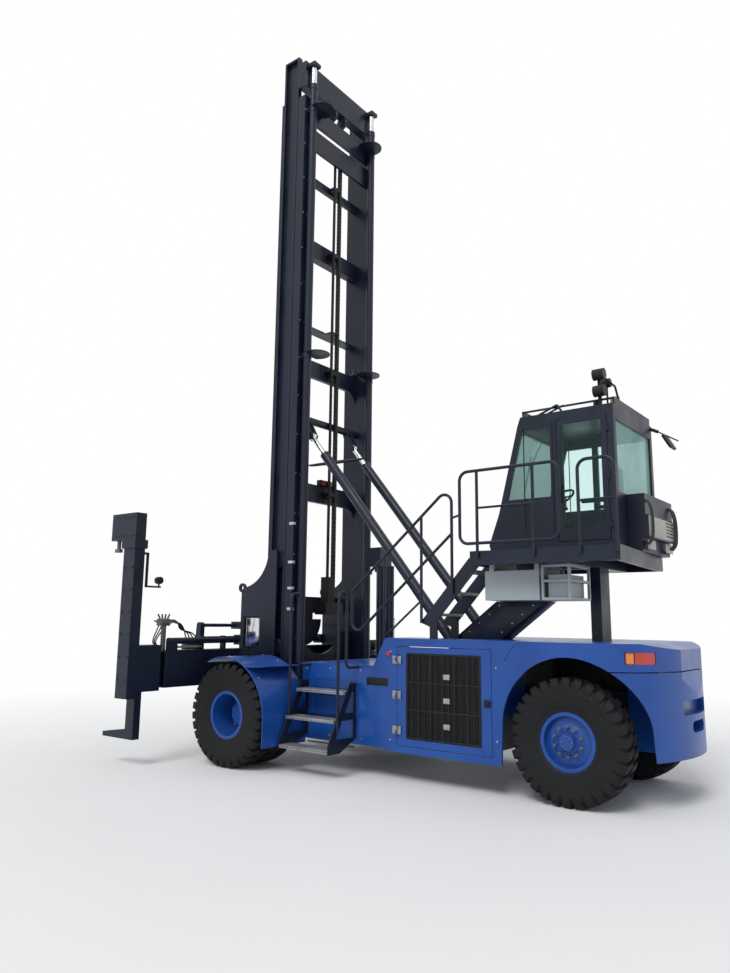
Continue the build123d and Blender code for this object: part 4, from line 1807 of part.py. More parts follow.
def roof_gear():
    """Guard bars, lamps, beacon, mirrors and the units behind the cab."""
    low = CAB_ROOF_Z + FRAME_GAP
    high = CAB_ROOF_Z + GUARD_RISE
    front = ahead(CAB_BROW_X) - CAB_WALL
    rear = ahead(CAB_REAR)
    half = CAB_HALF_WIDTH - 2 * CAB_WALL
    pieces = []
    for index in range(GUARD_COUNT):
        y = -half + index * 2 * half / (GUARD_COUNT - 1)
        pieces.append(block((front, rear), (y - GUARD_BAR / 2, y + GUARD_BAR / 2), (high - GUARD_BAR, high)))
    for x in (front, rear + GUARD_BAR):
        pieces.append(block((x - GUARD_BAR, x), (-half - GUARD_BAR, half + GUARD_BAR), (low, high)))
    write("roof_guard", joined(*pieces))

    stalk_x = rear + 2 * CAB_POST
    stalk_y = half + GUARD_BAR + LAMP_STALK_RADIUS + FRAME_GAP
    stalk_top = high + 4 * LAMP_HEAD_RADIUS
    lamps = [block((stalk_x - LAMP_STALK_RADIUS, stalk_x + LAMP_STALK_RADIUS),
                   (stalk_y - LAMP_STALK_RADIUS, stalk_y + LAMP_STALK_RADIUS),
                   (low, stalk_top + LAMP_HEAD_RADIUS))]
    for z in (high + LAMP_HEAD_RADIUS, stalk_top):
        lamp_y = stalk_y + LAMP_HEAD_RADIUS
        lamps.append(bar((stalk_x + LAMP_HEAD_LENGTH / 2, lamp_y, z), (stalk_x - LAMP_HEAD_LENGTH, lamp_y, z),
                         LAMP_HEAD_RADIUS))
    write("roof_lamps", joined(*lamps))
    beacon_x = rear + 2 * CAB_POST
    beacon_y = half / (GUARD_COUNT - 1)
    write("beacon", bar((beacon_x, beacon_y, low), (beacon_x, beacon_y, high + BEACON_HEIGHT), BEACON_RADIUS))

    mirrors = []
    fender_top = TYRE_RADIUS + FENDER_RADIUS
    stand_y = (BODY_HALF_WIDTH + FENDER_OUTER_Y) / 2
    x = ahead(-MIRROR_BACK)
    stand_foot = TYRE_RADIUS + sqrt(FENDER_RADIUS ** 2 - (MIRROR_BACK - WHEEL_TUBE) ** 2) + FRAME_GAP
    for side in (1, -1):
        stand = block((x - WHEEL_TUBE, x + WHEEL_TUBE), (side * stand_y - WHEEL_TUBE, side * stand_y + WHEEL_TUBE),
                      (stand_foot, fender_top + MIRROR_STAND))
        face = block((x - MIRROR_DEPTH / 2, x + MIRROR_DEPTH / 2),
                     (side * stand_y - MIRROR_WIDTH / 2, side * stand_y + MIRROR_WIDTH / 2),
                     (fender_top + MIRROR_STAND, fender_top + MIRROR_STAND + MIRROR_HEIGHT))
        mirrors.append(joined(stand, face))
    write("mirrors", mirrors)

    unit_y = (-CAB_HALF_WIDTH, CAB_HALF_WIDTH / 2)
    unit_rows = (
        (UNIT_LOW_DEPTH, PLATFORM_TOP + FRAME_GAP, UNIT_LOW_TOP),
        (UNIT_MIDDLE_DEPTH, UNIT_LOW_TOP, UNIT_MIDDLE_TOP),
        (UNIT_TOP_DEPTH, UNIT_MIDDLE_TOP, CAB_WINDOW_Z),
    )
    units = [block((rear - FRAME_GAP, rear - depth), unit_y, (foot, top)) for depth, foot, top in unit_rows]
    write("cab_rear_units", joined(*units))
    accumulators()


def accumulators():
    """Two upright pressure tanks on a bracket, with a box on the front one."""
    tank_x = (ahead(ACCUMULATOR_X), ahead(ACCUMULATOR_X) - ACCUMULATOR_SPACING)
    half = ACCUMULATOR_RADIUS + 2 * STEP_SIDE
    y = (ACCUMULATOR_Y - half, ACCUMULATOR_Y + half)
    foot = DECK_TOP + FRAME_GAP
    pieces = [block((tank_x[1] - 2 * half, tank_x[0] + half), y, (foot, foot + STEP_TREAD))]
    for x in tank_x:
        pieces.append(bar((x, ACCUMULATOR_Y, foot), (x, ACCUMULATOR_Y, ACCUMULATOR_TOP), ACCUMULATOR_RADIUS))
    box_rear = tank_x[0] - ACCUMULATOR_RADIUS + STEP_SIDE
    pieces.append(block((box_rear, ahead(ACCUMULATOR_BOX_FRONT)), y,
                        (ACCUMULATOR_TOP, ACCUMULATOR_TOP + ACCUMULATOR_BOX_HEIGHT)))
    write("accumulators", joined(*pieces))


def counterweight():
    """Heavy rear casting with a bowed tail, wheel arches, a pocket and a tow slot with its pin."""
    step_top = WEIGHT_SEAM + COVER_SEAM - FRAME_GAP
    front = REAR_AXLE_X - WEIGHT_CENTRE_BEHIND
    mass = tail_block(0, front, WEIGHT_FOOT, WEIGHT_SEAM - COVER_SEAM)
    mass += tail_block(WEIGHT_STEP, front, WEIGHT_SEAM - COVER_SEAM, step_top)
    wide = BODY_HALF_WIDTH + OVERRUN
    for low, high in ((WEIGHT_CENTRE_HALF_WIDTH, wide), (-wide, -WEIGHT_CENTRE_HALF_WIDTH)):
        mass -= arch_room(low, high)
    shoulder = [
        (TAIL_X - OVERRUN, SHOULDER_FOOT - OVERRUN),
        (TAIL_X, SHOULDER_FOOT),
        (TAIL_X + SHOULDER_DEPTH, SHOULDER_FOOT + SHOULDER_REACH),
        (TAIL_X + SHOULDER_DEPTH, step_top + OVERRUN),
        (TAIL_X - OVERRUN, step_top + OVERRUN),
    ]
    mass -= side_plate(shoulder, -wide, wide)
    rail_top = RAIL_BOTTOM + RAIL_HEIGHT
    mass -= block((ahead(-SPINE_REAR) - FRAME_GAP, front + OVERRUN),
                  (-SPINE_HALF_WIDTH - FRAME_GAP, SPINE_HALF_WIDTH + FRAME_GAP),
                  (RAIL_BOTTOM - FRAME_GAP, rail_top + FRAME_GAP))
    mass -= block((TAIL_X - OVERRUN, TAIL_X + POCKET_DEPTH), (-POCKET_HALF_WIDTH, POCKET_HALF_WIDTH),
                  (POCKET_FOOT, POCKET_TOP))
    slot_x = (TAIL_X - OVERRUN, TAIL_X + TOW_SLOT_DEPTH)
    half_height = TOW_SLOT_HALF_HEIGHT
    round_y = TOW_SLOT_HALF_WIDTH - half_height
    mass -= block(slot_x, (-round_y, round_y), (TOW_SLOT_Z - half_height, TOW_SLOT_Z + half_height))
    for y in (-round_y, round_y):
        mass -= bar((slot_x[0], y, TOW_SLOT_Z), (slot_x[1], y, TOW_SLOT_Z), half_height)
    pin_x = TAIL_X + TOW_PIN_AHEAD
    pin = bar((pin_x, 0, TOW_SLOT_Z - half_height - OVERRUN), (pin_x, 0, TOW_SLOT_Z + half_height + OVERRUN),
              TOW_PIN_RADIUS)
    write("counterweight", joined(mass, pin))


def main():
    os.makedirs("parts", exist_ok=True)
    wheels()
    axles()
    main_frame()
    power()
    fixed_mast()
    lifting_mast()
    tilt_cylinders()
    carriage()
    spreader()
    bodywork()
    access()
    platform()
    cab()
    roof_gear()
    counterweight()


main()
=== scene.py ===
"""Electric empty container handler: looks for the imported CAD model, in its own frame, in metres."""
import math

import bpy
import bmesh
from mathutils import Matrix, Vector
from mathutils.bvhtree import BVHTree


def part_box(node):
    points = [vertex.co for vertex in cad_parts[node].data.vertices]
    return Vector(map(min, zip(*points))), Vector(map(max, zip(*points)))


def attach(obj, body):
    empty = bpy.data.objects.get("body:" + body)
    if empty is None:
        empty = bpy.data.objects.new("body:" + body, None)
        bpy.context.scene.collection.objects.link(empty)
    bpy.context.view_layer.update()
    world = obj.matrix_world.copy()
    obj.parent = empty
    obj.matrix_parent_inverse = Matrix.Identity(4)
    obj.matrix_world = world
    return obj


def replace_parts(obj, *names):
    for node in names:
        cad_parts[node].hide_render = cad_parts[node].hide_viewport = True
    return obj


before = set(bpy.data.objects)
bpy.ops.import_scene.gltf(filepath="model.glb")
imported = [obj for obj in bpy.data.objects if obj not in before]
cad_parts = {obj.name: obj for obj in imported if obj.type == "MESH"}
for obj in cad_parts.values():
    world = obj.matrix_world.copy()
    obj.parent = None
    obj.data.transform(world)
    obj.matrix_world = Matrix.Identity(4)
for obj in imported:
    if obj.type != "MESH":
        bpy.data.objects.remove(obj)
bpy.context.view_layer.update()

# Where the front axle is along X. Places on the machine are given from it, through spot().
FRONT_AXLE = 2.010
REAR_AXLE = -4.5
SIDES = (("left", 1), ("right", -1))


# Small helpers

def spot(x, y, z):
    """A point whose x is given from the front axle."""
    return Vector((x + FRONT_AXLE, y, z))


def edges_of(verts):
    """The edges that meet at any of the vertices."""
    return {e for v in verts for e in v.link_edges}


def round_off(bm, edges, offset):
    """Rounds the edges with two facets each."""
    bmesh.ops.bevel(bm, geom=list(edges), offset=offset, segments=2, affect="EDGES", profile=0.5,
                    material=-1)


def add_box(bm, low, high, edge=0.003, turn=None):
    """A box with rounded edges between two corners given from the front axle."""
    a, b = spot(*low), spot(*high)
    low_corner = Vector((min(a.x, b.x), min(a.y, b.y), min(a.z, b.z)))
    high_corner = Vector((max(a.x, b.x), max(a.y, b.y), max(a.z, b.z)))
    size = high_corner - low_corner
    where = Matrix.Translation((low_corner + high_corner) / 2)
    if turn is not None:
        where = where @ turn
    where = where @ Matrix.Diagonal((size.x, size.y, size.z, 1.0))
    made = bmesh.ops.create_cube(bm, size=1.0, matrix=where)
    if edge:
        round_off(bm, edges_of(made["verts"]), min(edge, 0.45 * min(size)))


def add_rod(bm, a, b, radius, sides=20, edge=0.0):
    """A round bar between two points, with its rims rounded where edge is given."""
    a, b = Vector(a), Vector(b)
    run = b - a
    where = Matrix.Translation((a + b) / 2) @ run.to_track_quat("Z", "Y").to_matrix().to_4x4()
    made = bmesh.ops.create_cone(bm, cap_ends=True, cap_tris=False, segments=sides, radius1=radius,
                                 radius2=radius, depth=run.length, matrix=where)
    if edge:
        along = run.normalized()
        rims = [e for e in edges_of(made["verts"])
                if abs((e.verts[0].co - e.verts[1].co).normalized().dot(along)) < 0.5]
        round_off(bm, rims, edge)


def add_spin(bm, profile, centre, axis, steps):
    """A closed outline of (radius, place along the axis), turned once about the axis."""
    axis = Vector(axis).normalized()
    side = axis.orthogonal().normalized()
    centre = Vector(centre)
    dots = [bm.verts.new(centre + side * r + axis * a) for r, a in profile]
    edges = [bm.edges.new(pair) for pair in zip(dots, dots[1:] + dots[:1])]
    bmesh.ops.spin(bm, geom=dots + edges, cent=centre, axis=axis, dvec=(0.0, 0.0, 0.0), angle=math.tau,
                   steps=steps, use_merge=True)


def add_ring(bm, centre, axis, radius, thick, steps=64, around=10):
    """A round ring, such as a lock ring or a steering wheel's rim."""
    turns = [math.tau * i / around for i in range(around)]
    add_spin(bm, [(radius + thick * math.cos(t), thick * math.sin(t)) for t in turns], centre, axis, steps)


def add_bolt(bm, at, axis, radius=0.011):
    """A hexagon bolt head on its washer."""
    at, axis = Vector(at), Vector(axis).normalized()
    add_rod(bm, at - axis * 0.002, at + axis * radius * 0.25, radius * 1.35, sides=14)
    add_rod(bm, at, at + axis * radius * 0.95, radius, sides=6)


def place_on_circle(centre, axis, radius, turn):
    """A point on a circle about an axis."""
    axis = Vector(axis).normalized()
    first = Vector((1.0, 0.0, 0.0)) if abs(axis.x) < 0.5 else Vector((0.0, 1.0, 0.0))
    second = axis.cross(first)
    return Vector(centre) + (first * math.cos(turn) + second * math.sin(turn)) * radius


def piece(name, bm, body, material, crease=35.0):
    """Makes the mesh a piece that rides on a body."""
    bmesh.ops.remove_doubles(bm, verts=bm.verts, dist=0.00001)
    bmesh.ops.recalc_face_normals(bm, faces=bm.faces)
    mesh = bpy.data.meshes.new(name)
    bm.to_mesh(mesh)
    bm.free()
    mesh.materials.append(material)
    mesh.polygons.foreach_set("use_smooth", [True] * len(mesh.polygons))
    mesh.set_sharp_from_angle(angle=math.radians(crease))
    made = bpy.data.objects.new(name, mesh)
    bpy.context.scene.collection.objects.link(made)
    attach(made, body)
    return made


# Shared effects

def wire(tree, source, target):
    tree.links.new(source, target)


def add_node(tree, kind, **settings):
    made = tree.nodes.new(kind)
    for key, value in settings.items():
        setattr(made, key, value)
    return made


def noise(tree, place, scale, detail=3.0):
    made = add_node(tree, "ShaderNodeTexNoise")
    made.inputs["Detail"].default_value = detail
    made.inputs["Roughness"].default_value = 0.55
    wire(tree, place, made.inputs["Vector"])
    if isinstance(scale, float):
        made.inputs["Scale"].default_value = scale
    else:
        wire(tree, scale, made.inputs["Scale"])
    return made.outputs["Fac"]


def ramp(tree, value, low, high, to_low=0.0, to_high=1.0):
    made = add_node(tree, "ShaderNodeMapRange", clamp=True)
    wire(tree, value, made.inputs["Value"])
    made.inputs["From Min"].default_value = low
    made.inputs["From Max"].default_value = high
    made.inputs["To Min"].default_value = to_low
    made.inputs["To Max"].default_value = to_high
    return made.outputs["Result"]


def maths(tree, what, a, b):
    made = add_node(tree, "ShaderNodeMath", operation=what, use_clamp=False)
    for socket, value in zip(made.inputs, (a, b)):
        if isinstance(value, float):
            socket.default_value = value
        else:
            wire(tree, value, socket)
    return made.outputs["Value"]


def mixed(tree, share, a, b):
    made = add_node(tree, "ShaderNodeMix", data_type="RGBA")
    wire(tree, share, made.inputs[0])
    for socket, value in ((made.inputs[6], a), (made.inputs[7], b)):
        if isinstance(value, tuple):
            socket.default_value = (*value, 1.0)
        else:
            wire(tree, value, socket)
    return made.outputs[2]


def start_group(name, takes, gives):
    group = bpy.data.node_groups.new(name, "ShaderNodeTree")
    for label, value in takes:
        socket = group.interface.new_socket(name=label, in_out="INPUT", socket_type="NodeSocketFloat")
        socket.default_value = value
    for label, kind in gives:
        group.interface.new_socket(name=label, in_out="OUTPUT", socket_type=kind)
    entry = group.nodes.new("NodeGroupInput")
    leave = group.nodes.new("NodeGroupOutput")
    return group, entry, leave


def build_surface_wear():
    """Mottling, rubbed edges, settled dust and a normal that rounds the edges."""
    takes = (("Mottle Scale", 2.0), ("Wear", 0.4), ("Dust Amount", 0.3))
    gives = (("Mottle", "NodeSocketFloat"), ("Edge", "NodeSocketFloat"), ("Dust", "NodeSocketFloat"),
             ("Normal", "NodeSocketVector"))
    group, entry, leave = start_group("surface wear", takes, gives)
    place = add_node(group, "ShaderNodeTexCoord").outputs["Object"]
    shape = add_node(group, "ShaderNodeNewGeometry")
    rounded = add_node(group, "ShaderNodeBevel", samples=4)
    rounded.inputs["Radius"].default_value = 0.006
    mottle = ramp(group, noise(group, place, entry.outputs["Mottle Scale"], 5.0), 0.36, 0.64)
    bend = add_node(group, "ShaderNodeVectorMath", operation="DOT_PRODUCT")
    wire(group, rounded.outputs["Normal"], bend.inputs[0])
    wire(group, shape.outputs["Normal"], bend.inputs[1])
    edge = ramp(group, bend.outputs["Value"], 0.985, 0.90)
    rubbed = maths(group, "MULTIPLY", edge, ramp(group, noise(group, place, 26.0), 0.45, 0.62))
    split = add_node(group, "ShaderNodeSeparateXYZ")
    wire(group, shape.outputs["Normal"], split.inputs["Vector"])
    upward = ramp(group, split.outputs["Z"], 0.25, 0.95)
    settled = maths(group, "MULTIPLY", upward, ramp(group, noise(group, place, 7.0, 6.0), 0.35, 0.70))
    wire(group, mottle, leave.inputs["Mottle"])
    wire(group, maths(group, "MULTIPLY", rubbed, entry.outputs["Wear"]), leave.inputs["Edge"])
    wire(group, maths(group, "MULTIPLY", settled, entry.outputs["Dust Amount"]), leave.inputs["Dust"])
    wire(group, rounded.outputs["Normal"], leave.inputs["Normal"])
    return group


def build_fine_grain():
    """The height of a sprayed, cast or moulded surface."""
    group, entry, leave = start_group("fine grain", (("Scale", 200.0), ("Pits", 0.0)),
                                      (("Height", "NodeSocketFloat"),))
    place = add_node(group, "ShaderNodeTexCoord").outputs["Object"]
    skin = noise(group, place, entry.outputs["Scale"], 2.0)
    pits = ramp(group, noise(group, place, 38.0, 4.0), 0.52, 0.66, 1.0, 0.0)
    height = maths(group, "ADD", skin, maths(group, "MULTIPLY", pits, entry.outputs["Pits"]))
    wire(group, height, leave.inputs["Height"])
    return group


SURFACE_WEAR = build_surface_wear()
FINE_GRAIN = build_fine_grain()


# Finishes

def finish(name, dark, light, rough, metal=0.0, coat=0.0, shine=0.5, grain=240.0, pits=0.0, bump=0.12,
           mottle=2.0, wear=0.3, dust=0.2, bare=(0.20, 0.20, 0.20), dirt=(0.26, 0.24, 0.21), extra=None):
    """A two-tone finish with rubbed edges, dust, changing gloss and a fine grain."""
    material = bpy.data.materials.new(name)
    material.use_nodes = True
    tree = material.node_tree
    shader = tree.nodes["Principled BSDF"]
    worn = add_node(tree, "ShaderNodeGroup", node_tree=SURFACE_WEAR)
    worn.inputs["Mottle Scale"].default_value = mottle
    worn.inputs["Wear"].default_value = wear
    worn.inputs["Dust Amount"].default_value = dust
    skin = add_node(tree, "ShaderNodeGroup", node_tree=FINE_GRAIN)
    skin.inputs["Scale"].default_value = grain
    skin.inputs["Pits"].default_value = pits
    colour = mixed(tree, worn.outputs["Mottle"], dark, light)
    height = skin.outputs["Height"]
    if extra:
        colour, height = extra(tree, colour, height)
    colour = mixed(tree, worn.outputs["Edge"], colour, bare)
    colour = mixed(tree, worn.outputs["Dust"], colour, dirt)
    wire(tree, colour, shader.inputs["Base Color"])
    gloss = ramp(tree, worn.outputs["Mottle"], 0.0, 1.0, rough[0], rough[1])
    gloss = maths(tree, "ADD", gloss, maths(tree, "MULTIPLY", worn.outputs["Dust"], 0.35))
    wire(tree, gloss, shader.inputs["Roughness"])
    relief = add_node(tree, "ShaderNodeBump")
    relief.inputs["Strength"].default_value = bump
    relief.inputs["Distance"].default_value = 0.002
    wire(tree, height, relief.inputs["Height"])
    wire(tree, worn.outputs["Normal"], relief.inputs["Normal"])
    wire(tree, relief.outputs["Normal"], shader.inputs["Normal"])
    shader.inputs["Metallic"].default_value = metal
    shader.inputs["Specular IOR Level"].default_value = shine
    shader.inputs["Coat Weight"].default_value = coat
    shader.inputs["Coat Roughness"].default_value = 0.12
    return material


def pierced(tree, colour, height):
    """Rows of round holes pressed into a step plate, each darkened with painted shade."""
    place = add_node(tree, "ShaderNodeTexCoord").outputs["Object"]
    cells = add_node(tree, "ShaderNodeTexVoronoi")
    cells.inputs["Scale"].default_value = 26.0
    cells.inputs["Randomness"].default_value = 0.0
    wire(tree, place, cells.inputs["Vector"])
    hole = ramp(tree, cells.outputs["Distance"], 0.26, 0.32, 1.0, 0.0)
    # The holes are sunk in the height and coloured near-black as painted shade inside them.
    return mixed(tree, hole, colour, (0.05, 0.05, 0.055)), maths(tree, "SUBTRACT", height, hole)


def woven(tree, colour, height):
    """Crossed threads of a seat cloth."""
    place = add_node(tree, "ShaderNodeTexCoord").outputs["Object"]
    threads = []
    for direction in ("X", "Z"):
        wave = add_node(tree, "ShaderNodeTexWave", bands_direction=direction)
        wave.inputs["Scale"].default_value = 130.0
        wave.inputs["Distortion"].default_value = 0.6
        wire(tree, place, wave.inputs["Vector"])
        threads.append(wave.outputs["Fac"])
    weave = maths(tree, "MULTIPLY", threads[0], threads[1])
    return mixed(tree, weave, colour, (0.055, 0.058, 0.065)), maths(tree, "ADD", height, weave)


def ribbed(tree, colour, height):
    """The fine prisms inside a lamp lens."""
    place = add_node(tree, "ShaderNodeTexCoord").outputs["Object"]
    wave = add_node(tree, "ShaderNodeTexWave", bands_direction="Z")
    wave.inputs["Scale"].default_value = 40.0
    wire(tree, place, wave.inputs["Vector"])
    return colour, maths(tree, "ADD", height, maths(tree, "MULTIPLY", wave.outputs["Fac"], 2.0))


def make_glass():
    """Tinted panes: clear looking straight through, bright where they mirror the sky."""
    material = bpy.data.materials.new("cab glass")
    material.use_nodes = True
    tree = material.node_tree
    shader = tree.nodes["Principled BSDF"]
    output = tree.nodes["Material Output"]
    place = add_node(tree, "ShaderNodeTexCoord").outputs["Object"]
    haze = ramp(tree, noise(tree, place, 3.0, 5.0), 0.35, 0.65)
    wire(tree, mixed(tree, haze, (0.42, 0.66, 0.64), (0.55, 0.80, 0.77)), shader.inputs["Base Color"])
    wire(tree, ramp(tree, haze, 0.0, 1.0, 0.02, 0.07), shader.inputs["Roughness"])
    clear = add_node(tree, "ShaderNodeBsdfTransparent")
    clear.inputs["Color"].default_value = (0.915, 0.985, 0.975, 1.0)
    mirror = add_node(tree, "ShaderNodeFresnel")
    mirror.inputs["IOR"].default_value = 1.5
    share = maths(tree, "MULTIPLY", mirror.outputs["Fac"], 0.8)
    both = add_node(tree, "ShaderNodeMixShader")
    wire(tree, share, both.inputs["Fac"])
    wire(tree, clear.outputs["BSDF"], both.inputs[1])
    wire(tree, shader.outputs["BSDF"], both.inputs[2])
    wire(tree, both.outputs["Shader"], output.inputs["Surface"])
    return material


BLUE = finish("blue paint", (0.006, 0.058, 0.285), (0.010, 0.078, 0.350), (0.30, 0.42), coat=0.18,
              shine=0.35, bump=0.06, wear=0.25, dust=0.10)
NAVY = finish("navy paint", (0.0045, 0.0085, 0.021), (0.008, 0.014, 0.034), (0.36, 0.50), coat=0.08,
              shine=0.30, bump=0.08, wear=0.35, bare=(0.07, 0.08, 0.10), dust=0.08)
CAST = finish("cast block paint", (0.006, 0.058, 0.285), (0.010, 0.078, 0.345), (0.30, 0.44), coat=0.18,
              shine=0.35, pits=0.5, grain=120.0, bump=0.16, mottle=1.4, wear=0.25)
GREY = finish("grey machine paint", (0.10, 0.105, 0.11), (0.16, 0.165, 0.17), (0.38, 0.52), metal=0.25,
              bump=0.12)
PALE = finish("pale cabinet paint", (0.36, 0.35, 0.32), (0.46, 0.45, 0.42), (0.42, 0.55), bump=0.10,
              dust=0.25, bare=(0.22, 0.22, 0.22), dirt=(0.22, 0.20, 0.17))
CHROME = finish("chromed rod", (0.62, 0.63, 0.65), (0.72, 0.73, 0.75), (0.10, 0.20), metal=1.0, bump=0.03,
                wear=0.0, dust=0.1, mottle=5.0)
STEEL = finish("bright fastener", (0.34, 0.34, 0.35), (0.48, 0.48, 0.49), (0.28, 0.42), metal=1.0,
               bump=0.10, mottle=14.0, wear=0.2)
RUBBER = finish("tyre rubber", (0.0070, 0.0075, 0.0090), (0.0125, 0.0130, 0.0150), (0.62, 0.80),
                grain=150.0, pits=0.4, shine=0.25, bump=0.30, mottle=5.0, wear=0.5,
                bare=(0.035, 0.035, 0.036), dust=0.16, dirt=(0.07, 0.068, 0.062))
PLASTIC = finish("black moulded plastic", (0.0045, 0.005, 0.0065), (0.009, 0.0095, 0.012), (0.42, 0.58),
                 grain=420.0, shine=0.3, bump=0.18, mottle=6.0, wear=0.3, bare=(0.06, 0.06, 0.06))
HOSE = finish("hose rubber", (0.010, 0.010, 0.011), (0.018, 0.018, 0.019), (0.45, 0.6), grain=600.0,
              bump=0.2, mottle=12.0, wear=0.2)
TREAD = finish("pressed step plate", (0.26, 0.27, 0.28), (0.40, 0.41, 0.42), (0.36, 0.5), metal=0.6,
               bump=0.5, mottle=6.0, wear=0.5, bare=(0.6, 0.6, 0.6), dust=0.35, extra=pierced)
CLOTH = finish("seat cloth", (0.018, 0.019, 0.022), (0.030, 0.031, 0.036), (0.78, 0.92), grain=900.0,
               bump=0.35, mottle=8.0, wear=0.15, dust=0.1, extra=woven)
AMBER = finish("amber lens", (0.70, 0.20, 0.010), (0.90, 0.32, 0.020), (0.08, 0.16), coat=0.8, bump=0.25,
               wear=0.0, dust=0.05, extra=ribbed)
RED = finish("red lens", (0.42, 0.012, 0.008), (0.60, 0.022, 0.012), (0.08, 0.16), coat=0.8, bump=0.25,
             wear=0.0, dust=0.05, extra=ribbed)
BATTERY = finish("battery case", (0.06, 0.062, 0.066), (0.09, 0.092, 0.096), (0.5, 0.65), grain=300.0,
                 bump=0.2)
# Painted highlight: a near-white finish for the strips that stand in for glints of light on the mast's
# flange.
MAST_HIGHLIGHT_PAINT = finish("painted mast highlight", (0.52, 0.53, 0.54), (0.68, 0.69, 0.70), (0.4, 0.55), mottle=9.0,
                    wear=0.6, bare=(0.05, 0.06, 0.08), bump=0.06)
HINGE = finish("zinc plated hinge", (0.30, 0.29, 0.25), (0.44, 0.42, 0.36), (0.34, 0.5), metal=0.7,
               bump=0.1, mottle=9.0)
CABINET = finish("cabinet steel", (0.25, 0.29, 0.32), (0.34, 0.385, 0.42), (0.34, 0.48), metal=0.2,
                 bump=0.06, mottle=1.5, dust=0.15)
GLASS = make_glass()

FINISH_OF_SLOT = {
    "blue_paint": BLUE, "navy_paint": NAVY, "grey_paint": GREY, "pale_paint": PALE, "cast_paint": CAST,
    "chromed": CHROME, "rubber_black": RUBBER, "glazing": GLASS, "cushion": CLOTH, "black_plastic": PLASTIC,
    "amber_lens": AMBER, "red_lens": RED, "tread_metal": TREAD, "battery_case": BATTERY,
}


def slot_of(part):
    """The record's slot that a CAD node is finished in."""
    found = part.active_material.name if part.active_material else "navy_paint"
    found = found.split(".")[0]
    return found if found in FINISH_OF_SLOT else "navy_paint"


FINISH_OF_NODE = {"platform_cabinets": CABINET, "cab_rear_units": NAVY}

for node_name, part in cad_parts.items():
    chosen = FINISH_OF_NODE.get(node_name, FINISH_OF_SLOT[slot_of(part)])
    for place_in_list in range(len(part.material_slots)):
        part.material_slots[place_in_list].material = chosen


# Wheels

TYRE = 0.685
CARCASS = 0.644
LUGS = 30
# How far each tyre's middle is from the middle of the machine.
FRONT_OUTER_TYRE = 1.862
FRONT_INNER_TYRE = 1.432
REAR_TYRE = 1.016
LUG_SLANT = 1.6
LOCK_RING_RADIUS = 0.336
RIM_BEAD_RADIUS = 0.318


def add_tyre(bm, x, y):
    """A carcass with crossed lugs and shoulder blocks, on the wheel's centre."""
    # Half of the carcass's outline: the radius, and the place along the axle.
    half = [(0.306, 0.118), (0.322, 0.146), (0.350, 0.158), (0.366, 0.160), (0.372, 0.167), (0.430, 0.180),
            (0.500, 0.185), (0.545, 0.182), (0.552, 0.185), (0.560, 0.181), (0.600, 0.168), (0.628, 0.150),
            (CARCASS, 0.128), (CARCASS + 0.002, 0.060)]
    profile = half + [(r, -a) for r, a in reversed(half)]
    centre = spot(x, y, TYRE)
    add_spin(bm, profile, centre, (0, 1, 0), steps=90)
    for side in (1, -1):
        for count in range(LUGS):
            turn = math.tau * (count + (0.25 if side > 0 else 0.75)) / LUGS
            add_lug(bm, centre, side, turn)


def add_lug(bm, centre, side, turn):
    """One slanted lug that runs from the middle of the tread over the shoulder."""
    # Place along the axle, foot and top radius, lean and half of the width, from the middle outwards.
    places = ((0.004, 0.636, 0.6848, 0.00, 0.036), (0.095, 0.636, 0.6844, 0.030, 0.044),
              (0.148, 0.620, 0.6800, 0.046, 0.050), (0.172, 0.585, 0.648, 0.052, 0.050),
              (0.181, 0.556, 0.590, 0.054, 0.040))
    rows = []
    for along, low, high, lean, width in places:
        row = []
        for radius, wide in ((low, width), (high, width - 0.006)):
            for end in (-1, 1):
                angle = turn + side * lean * LUG_SLANT + end * wide / radius
                # On the tyre's wall the lug stands out sideways too.
                bulge = 0.006 if radius != low and along > 0.16 else 0.0
                out = Vector((radius * math.cos(angle), side * (along + bulge), radius * math.sin(angle)))
                row.append(bm.verts.new(centre + out))
        rows.append((row[0], row[1], row[3], row[2]))
    bm.faces.new(rows[0])
    for before, after in zip(rows, rows[1:]):
        ring_before = [bm.edges.get((before[i], before[(i + 1) % 4])) for i in range(4)]
        ring_after = [bm.edges.new((after[i], after[(i + 1) % 4])) for i in range(4)]
        bmesh.ops.bridge_loops(bm, edges=ring_before + ring_after)
    bm.faces.new(rows[-1])


def wheel_trim(bm_nuts, bm_ring, x, side, y_disc, y_flange, nuts, nut_circle, y_hub, hub_circle):
    """Nuts, hub bolts, lock ring and valve of one wheel."""
    out = Vector((0, side, 0))
    for count in range(nuts):
        at = place_on_circle(spot(x, side * y_disc, TYRE), out, nut_circle, math.tau * (count + 0.5) / nuts)
        add_rod(bm_nuts, at - out * 0.004, at + out * 0.006, 0.021, sides=18)
        add_rod(bm_nuts, at, at + out * 0.024, 0.0165, sides=6)
        add_rod(bm_nuts, at + out * 0.02, at + out * 0.040, 0.010, sides=12)
    for count in range(8):
        at = place_on_circle(spot(x, side * y_hub, TYRE), out, hub_circle, math.tau * count / 8)
        add_bolt(bm_nuts, at, out, 0.008)
    add_ring(bm_ring, spot(x, side * y_flange, TYRE), out, LOCK_RING_RADIUS, 0.0075)
    add_ring(bm_ring, spot(x, side * (y_flange - 0.012), TYRE), out, RIM_BEAD_RADIUS, 0.0050)
    foot = place_on_circle(spot(x, side * (y_flange - 0.09), TYRE), out, 0.285, 0.9)
    add_rod(bm_ring, foot, foot + out * 0.075 + Vector((0, 0, -0.012)), 0.006, sides=10)


